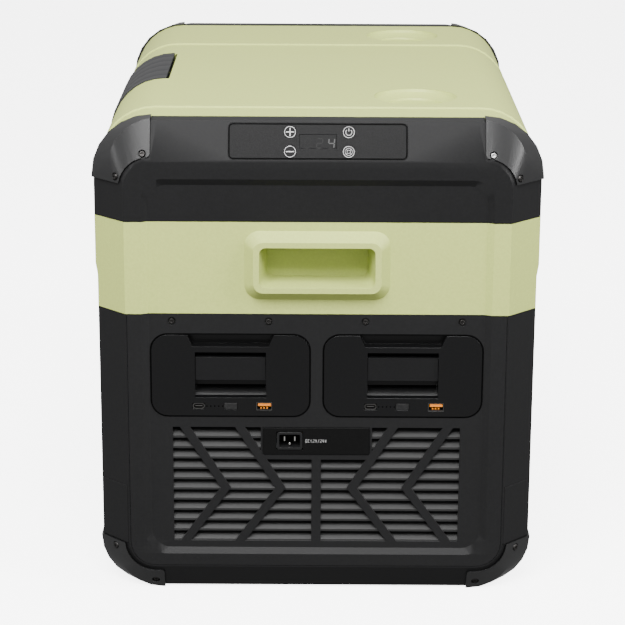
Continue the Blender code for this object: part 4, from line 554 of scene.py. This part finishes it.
battery_gloss = moulded_plastic("battery_gloss", (0.0028, 0.0028, 0.0030), 0.24, specular=0.34,
                                grain=0.000025, fleck=0.25, fleck_scale=700)
latch_plastic = moulded_plastic("battery_latch_plastic", (0.0055, 0.0055, 0.0058), 0.40,
                                specular=0.22, grain=0.00003)
button_plastic = moulded_plastic("button_plastic", (0.014, 0.014, 0.014), 0.48, specular=0.2,
                                 fleck=0.6, fleck_scale=900)
dress(["battery_left_case", "battery_right_case"], battery_gloss, edge=0.0013)
dress(["battery_left_latch", "battery_right_latch"], latch_plastic, edge=0.0005)
dress(["battery_left_button", "battery_right_button"], button_plastic, edge=0.0003)

socket_steel = metal("socket_steel", (0.16, 0.155, 0.15), 0.34)
orange_tongue = moulded_plastic("orange_tongue", (0.62, 0.185, 0.018), 0.42, specular=0.3,
                                grain=0.00002, fleck=0.06)
# Near-black for the insides of the sockets: partly their own black plastic, partly painted shade.
dark_cavity = moulded_plastic("dark_cavity", (0.003, 0.003, 0.003), 0.6, specular=0.05)
pilot_grey = moulded_plastic("pilot_window", (0.0004, 0.0004, 0.0004), 0.30, specular=0.05,
                             grain=0.00001)

SHELL_SHORT, THROAT_DEPTH, THROAT_SHORT, THROAT_GRIP = 0.0005, 0.0050, 0.0006, 0.9
TONGUE_SHIFT, TONGUE_LIFT, TONGUE_SET_BACK = 0.0002, 0.0014, 0.0006
TONGUE_HALF, TONGUE_LENGTH, TONGUE_CORNER = (0.0060, 0.0014), 0.0050, 0.0003
CONTACT_OFFSETS, CONTACT_DROP, CONTACT_SET_BACK = (-0.0030, -0.0002, 0.0026), 0.0022, 0.0014
CONTACT_HALF, CONTACT_LENGTH, CONTACT_CORNER = (0.0007, 0.0006), 0.0020, 0.0002
BLADE_HALF, BLADE_SET_BACK, BLADE_LENGTH, BLADE_CORNER = (0.0034, 0.0005), 0.0010, 0.0045, 0.0002
COVER_RECESS, SHADE_RING_GAP, SHADE_RING_WIDTH, CASE_CORNER = 0.0030, 0.0003, 0.0012, 0.0152
SHADE_RING_FRONT, SHADE_RING_BACK = -0.00012, 0.0003
PILOT_OFFSETS = (-0.0221, -0.01845, -0.0148, -0.01115, -0.0075)
PILOT_RADIUS, PILOT_PROUD, PILOT_DEPTH = 0.0007, 0.00005, 0.0004


def rounded_slab(shape, centre, half, thickness, radius, steps=4):
    """A plate standing in the X-Z plane, its front at centre, rounded at its corners."""
    outline = rounded_outline(*half, radius, steps)
    stack_rings(shape, [[(x, depth, z) for x, z in outline] for depth in (thickness, 0.0)],
                Matrix.Translation(centre))


for side_name in ("left", "right"):
    body = f"battery_{side_name}"
    case_low, case_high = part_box(f"{body}_case")
    middle_x = (case_low.x + case_high.x) / 2
    sockets = {}

    # The sockets: a folded steel shell round a dark throat; the throat's near-black is partly the socket's
    # black plastic and partly painted shade deep inside it.
    for kind, corner, rim in (("usb_a", 0.0007, 0.0005), ("usb_c", 0.0025, 0.0006)):
        low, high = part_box(f"{body}_{kind}")
        half_width, half_height = (high.x - low.x) / 2, (high.z - low.z) / 2
        length = high.y - low.y
        sockets[kind] = Vector(((low.x + high.x) / 2, low.y, (low.z + high.z) / 2))
        shell = bmesh.new()
        frame_strip(shell, rounded_outline(half_width, half_height, corner),
                    rounded_outline(half_width - rim, half_height - rim, corner - rim / 2),
                    0.0, length - SHELL_SHORT, Matrix.Translation(sockets[kind]))
        shell_piece = new_piece(f"{body}_{kind}_shell", shell, socket_steel, body)
        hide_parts(f"{body}_{kind}")
        throat = bmesh.new()
        rounded_slab(throat, sockets[kind] + Vector((0, THROAT_DEPTH, 0)),
                     (half_width - rim * THROAT_GRIP, half_height - rim * THROAT_GRIP),
                     length - THROAT_DEPTH - THROAT_SHORT, corner - rim / 2, 3)
        new_piece(f"{body}_{kind}_throat", throat, dark_cavity, body)

    # The orange tongue and contacts of the wide socket, the blade of the narrow one
    tongue = bmesh.new()
    rounded_slab(tongue, sockets["usb_a"] + Vector((TONGUE_SHIFT, TONGUE_SET_BACK, TONGUE_LIFT)),
                 TONGUE_HALF, TONGUE_LENGTH, TONGUE_CORNER, 2)
    for offset in CONTACT_OFFSETS:
        rounded_slab(tongue, sockets["usb_a"] + Vector((offset, CONTACT_SET_BACK, -CONTACT_DROP)),
                     CONTACT_HALF, CONTACT_LENGTH, CONTACT_CORNER, 2)
    new_piece(f"{body}_usb_tongue", tongue, orange_tongue, body)
    blade = bmesh.new()
    rounded_slab(blade, sockets["usb_c"] + Vector((0, BLADE_SET_BACK, 0)),
                 BLADE_HALF, BLADE_LENGTH, BLADE_CORNER, 2)
    new_piece(f"{body}_usb_blade", blade, socket_steel, body)

    # A near-black ring in the gap round the pack is painted shade: it stands for the shadow in that gap.
    shade_ring_inner = ((case_high.x - case_low.x) / 2 + SHADE_RING_GAP, (case_high.z - case_low.z) / 2 + SHADE_RING_GAP)
    shade_ring_place = Matrix.Translation((middle_x, front_y + COVER_RECESS, (case_low.z + case_high.z) / 2))
    gap_shade_ring = bmesh.new()
    frame_strip(gap_shade_ring, rounded_outline(shade_ring_inner[0] + SHADE_RING_WIDTH, shade_ring_inner[1] + SHADE_RING_WIDTH,
                                      CASE_CORNER + SHADE_RING_WIDTH, 8),
                rounded_outline(*shade_ring_inner, CASE_CORNER, 8), SHADE_RING_FRONT, SHADE_RING_BACK, shade_ring_place)
    new_piece(f"{body}_seal", gap_shade_ring, gap_shade_black, "cabinet")

    pilots = bmesh.new()
    for offset in PILOT_OFFSETS:
        rounded_slab(pilots, (middle_x + offset, case_low.y - PILOT_PROUD, sockets["usb_a"].z),
                     (PILOT_RADIUS, PILOT_RADIUS), PILOT_DEPTH, PILOT_RADIUS * 0.98, 3)
    new_piece(f"{body}_pilots", pilots, pilot_grey, body)

# ---------------------------------------------------------------------------
# Power inlet. A flat black plate let into the service cover, with an appliance
# inlet socket, its two blades and round pin, and the supply voltage in print.

plate_black = moulded_plastic("inlet_plate_black", (0.0036, 0.0036, 0.0036), 0.42,
                              specular=0.10, grain=0.00002)
socket_black = moulded_plastic("inlet_socket_black", (0.0075, 0.0075, 0.0078), 0.38,
                               specular=0.30, grain=0.00002)
dress(["inlet_plate"], plate_black, edge=0.0003)
dress(["inlet_socket"], socket_black, edge=0.0004, merge_flats=False)
PIN_LENGTH = 0.0055
bright_pin = metal("bright_pin", (0.70, 0.69, 0.66), 0.25)
dress(["inlet_pins"], bright_pin, edge=0.0002, merge_flats=False)
# Further back than PIN_LENGTH the pins turn near black: painted shade inside the socket.
tint_behind(bright_pin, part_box("inlet_pins")[0].y + PIN_LENGTH, (0.004, 0.004, 0.004))

GLYPHS = {
    "D": (((0, 0), (0, 1)), ((0, 1), (0.7, 1)), ((0.7, 1), (1, 0.7)), ((1, 0.7), (1, 0.3)),
          ((1, 0.3), (0.7, 0)), ((0.7, 0), (0, 0))),
    "C": (((1, 1), (0, 1)), ((0, 1), (0, 0)), ((0, 0), (1, 0))),
    "1": (((0.5, 0), (0.5, 1)), ((0.5, 1), (0.2, 0.75))),
    "2": (((0, 1), (1, 1)), ((1, 1), (1, 0.5)), ((1, 0.5), (0, 0.4)), ((0, 0.4), (0, 0)),
          ((0, 0), (1, 0))),
    "4": (((0, 1), (0, 0.4)), ((0, 0.4), (1, 0.4)), ((0.8, 1), (0.8, 0))),
    "V": (((0, 1), (0.5, 0)), ((0.5, 0), (1, 1))),
    "/": (((0, 0), (1, 1)),),
}
LETTER_WIDTH, LETTER_HEIGHT, LETTER_PITCH, LETTER_STROKE = 0.00120, 0.0029, 0.00228, 0.00022
LETTER_BACK, LETTER_FRONT = 0.00003, -0.00005
RATING_ACROSS, RATING_UP = 0.0400, 0.0119
inlet_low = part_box("inlet_plate")[0]
rating = bmesh.new()
rating_place = Matrix.Translation((inlet_low.x + RATING_ACROSS, inlet_low.y, inlet_low.z + RATING_UP))
for index, letter in enumerate("DC12V/24V"):
    for stroke in GLYPHS[letter]:
        start, end = (Vector((index * LETTER_PITCH + across * LETTER_WIDTH, up * LETTER_HEIGHT))
                      for across, up in stroke)
        along = (end - start).normalized() * LETTER_STROKE / 2
        across = Vector((-along.y, along.x))
        outline = [start - along + across, end + along + across,
                   end + along - across, start - along - across]
        rings = [[(point.x, depth, point.y) for point in outline] for depth in (LETTER_BACK, LETTER_FRONT)]
        stack_rings(rating, rings, rating_place)
new_piece("inlet_rating", rating, white_ink, "cabinet")

# ---------------------------------------------------------------------------
# Lid latch. One wide lever bent over the shoulder of the lid, in dark grey
# plastic with five finger grooves, turning on a steel pin in the cover.

lever_grey = moulded_plastic("lever_grey", (0.022, 0.022, 0.023), 0.50, specular=0.22)
dress(["latch_lever"], lever_grey, edge=0.0005)
lever_low, lever_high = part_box("latch_lever")

# A near-black strip stands in the slot along the lever's upper edge: painted shade for the shadow in that
# slot.
LEVER_CLEARANCE, SHADE_STRIP_WIDTH, SHADE_STRIP_SHORT, SHADE_STRIP_FOOT, SHADE_STRIP_HEAD = 0.0017, 0.0011, 0.001, 0.0050, 0.0004
shade_strip_x = lever_high.x + LEVER_CLEARANCE + SHADE_STRIP_WIDTH / 2
shade_strip_ring = [(shade_strip_x + across * SHADE_STRIP_WIDTH / 2, along * (lever_high.y - SHADE_STRIP_SHORT))
            for across, along in ((1, 1), (-1, 1), (-1, -1), (1, -1))]
lid_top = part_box("lid_cover")[1].z
slot_shade_strip = bmesh.new()
stack_rings(slot_shade_strip, [[(x, y, z) for x, y in shade_strip_ring] for z in (lid_top - SHADE_STRIP_FOOT, lid_top - SHADE_STRIP_HEAD)],
            Matrix())
new_piece("latch_slot_shade", slot_shade_strip, gap_shade_black, "lid")

# A thin backing plate closes the wall behind the lever's free end
PLATE_MARGIN, PLATE_DROP, PLATE_RISE = 0.004, 0.005, 0.0351
PLATE_OUTER, PLATE_INNER = 0.0005, 0.0001
foam_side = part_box("foam_jacket")[0].x
plate_side, plate_low = lever_high.y + PLATE_MARGIN, lever_low.z - PLATE_DROP
plate_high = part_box("upper_frame")[0].z + PLATE_RISE
plate_outline = [(plate_side, plate_low), (plate_side, plate_high),
                 (-plate_side, plate_high), (-plate_side, plate_low)]
backing_plate = bmesh.new()
stack_rings(backing_plate, [[(x, y, z) for y, z in plate_outline]
                            for x in (foam_side - PLATE_OUTER, foam_side - PLATE_INNER)], Matrix())
new_piece("latch_backing_plate", backing_plate, black_abs, "cabinet")
pin_steel = metal("pin_steel", (0.48, 0.47, 0.46), 0.32)
dress(["latch_pin", "hinge_pin_front", "hinge_pin_rear"], pin_steel, edge=0.0002, merge_flats=False)

# ---------------------------------------------------------------------------
# Lid underside and food compartment. White polypropylene, vacuum formed and
# moulded, with a soft black seal pressed on round the lid's plug.

food_white = moulded_plastic("food_white", (0.74, 0.75, 0.74), 0.34, specular=0.45,
                             grain=0.00003, fleck=0.02)
dress(["lid_liner", "inner_liner"], food_white, edge=0.0008)
seal_rubber = moulded_plastic("seal_rubber", (0.012, 0.012, 0.012), 0.78, specular=0.2, grain=0.00008)
dress(["lid_gasket"], seal_rubber, edge=0.0007)

# ---------------------------------------------------------------------------
# Insulation. Rigid polyurethane foamed in place between liner and shell, pale
# buff and finely pored, with the rolled aluminium evaporator round the liner.

buff_foam = bpy.data.materials.new("buff_foam")
buff_foam.use_nodes = True
foam_tree = buff_foam.node_tree
foam_shader = foam_tree.nodes["Principled BSDF"]
foam_shader.inputs["Roughness"].default_value = 0.92
foam_shader.inputs["Specular IOR Level"].default_value = 0.1
foam_place = foam_tree.nodes.new("ShaderNodeTexCoord")
pores = foam_tree.nodes.new("ShaderNodeTexVoronoi")
pores.inputs["Scale"].default_value = 380
foam_tree.links.new(foam_place.outputs["Object"], pores.inputs["Vector"])
foam_bump = foam_tree.nodes.new("ShaderNodeBump")
foam_bump.inputs["Strength"].default_value = 0.7
foam_bump.inputs["Distance"].default_value = 0.0004
foam_tree.links.new(pores.outputs["Distance"], foam_bump.inputs["Height"])
foam_tree.links.new(foam_bump.outputs["Normal"], foam_shader.inputs["Normal"])
foam_tint = foam_tree.nodes.new("ShaderNodeValToRGB")
foam_tint.color_ramp.elements[0].color = (0.55, 0.44, 0.24, 1)
foam_tint.color_ramp.elements[1].color = (0.74, 0.64, 0.42, 1)
foam_tree.links.new(pores.outputs["Distance"], foam_tint.inputs["Fac"])
foam_tree.links.new(foam_tint.outputs["Color"], foam_shader.inputs["Base Color"])
dress(["foam_jacket"], buff_foam, edge=0.001)

rolled_aluminium = metal("rolled_aluminium", (0.62, 0.63, 0.64), 0.40, streak=0.06)
dress(["evaporator_plate", "condenser"], rolled_aluminium, edge=0.0002, merge_flats=False)

# ---------------------------------------------------------------------------
# Cooling machinery. An enamelled compressor can, drawn copper pipes, a finned
# condenser with its fan, and the driver board behind the service cover.

can_enamel = moulded_plastic("can_enamel", (0.008, 0.008, 0.008), 0.26, specular=0.5, grain=0.00004)
dress(["compressor"], can_enamel, edge=0.0006, merge_flats=False)
drawn_copper = metal("drawn_copper", (0.72, 0.32, 0.17), 0.32)
dress(["suction_pipe", "discharge_pipe"], drawn_copper, edge=0.0002, merge_flats=False)
fan_black = moulded_plastic("fan_black", (0.010, 0.010, 0.010), 0.48, specular=0.3)
dress(["fan_frame", "fan_rotor"], fan_black, edge=0.0003, merge_flats=False)
dress(["battery_bay"], black_abs, edge=0.0004)
solder_mask = moulded_plastic("solder_mask", (0.012, 0.10, 0.035), 0.32, specular=0.5,
                              grain=0.00002, fleck=0.3)
dress(["power_board"], solder_mask, edge=0.0002, merge_flats=False)
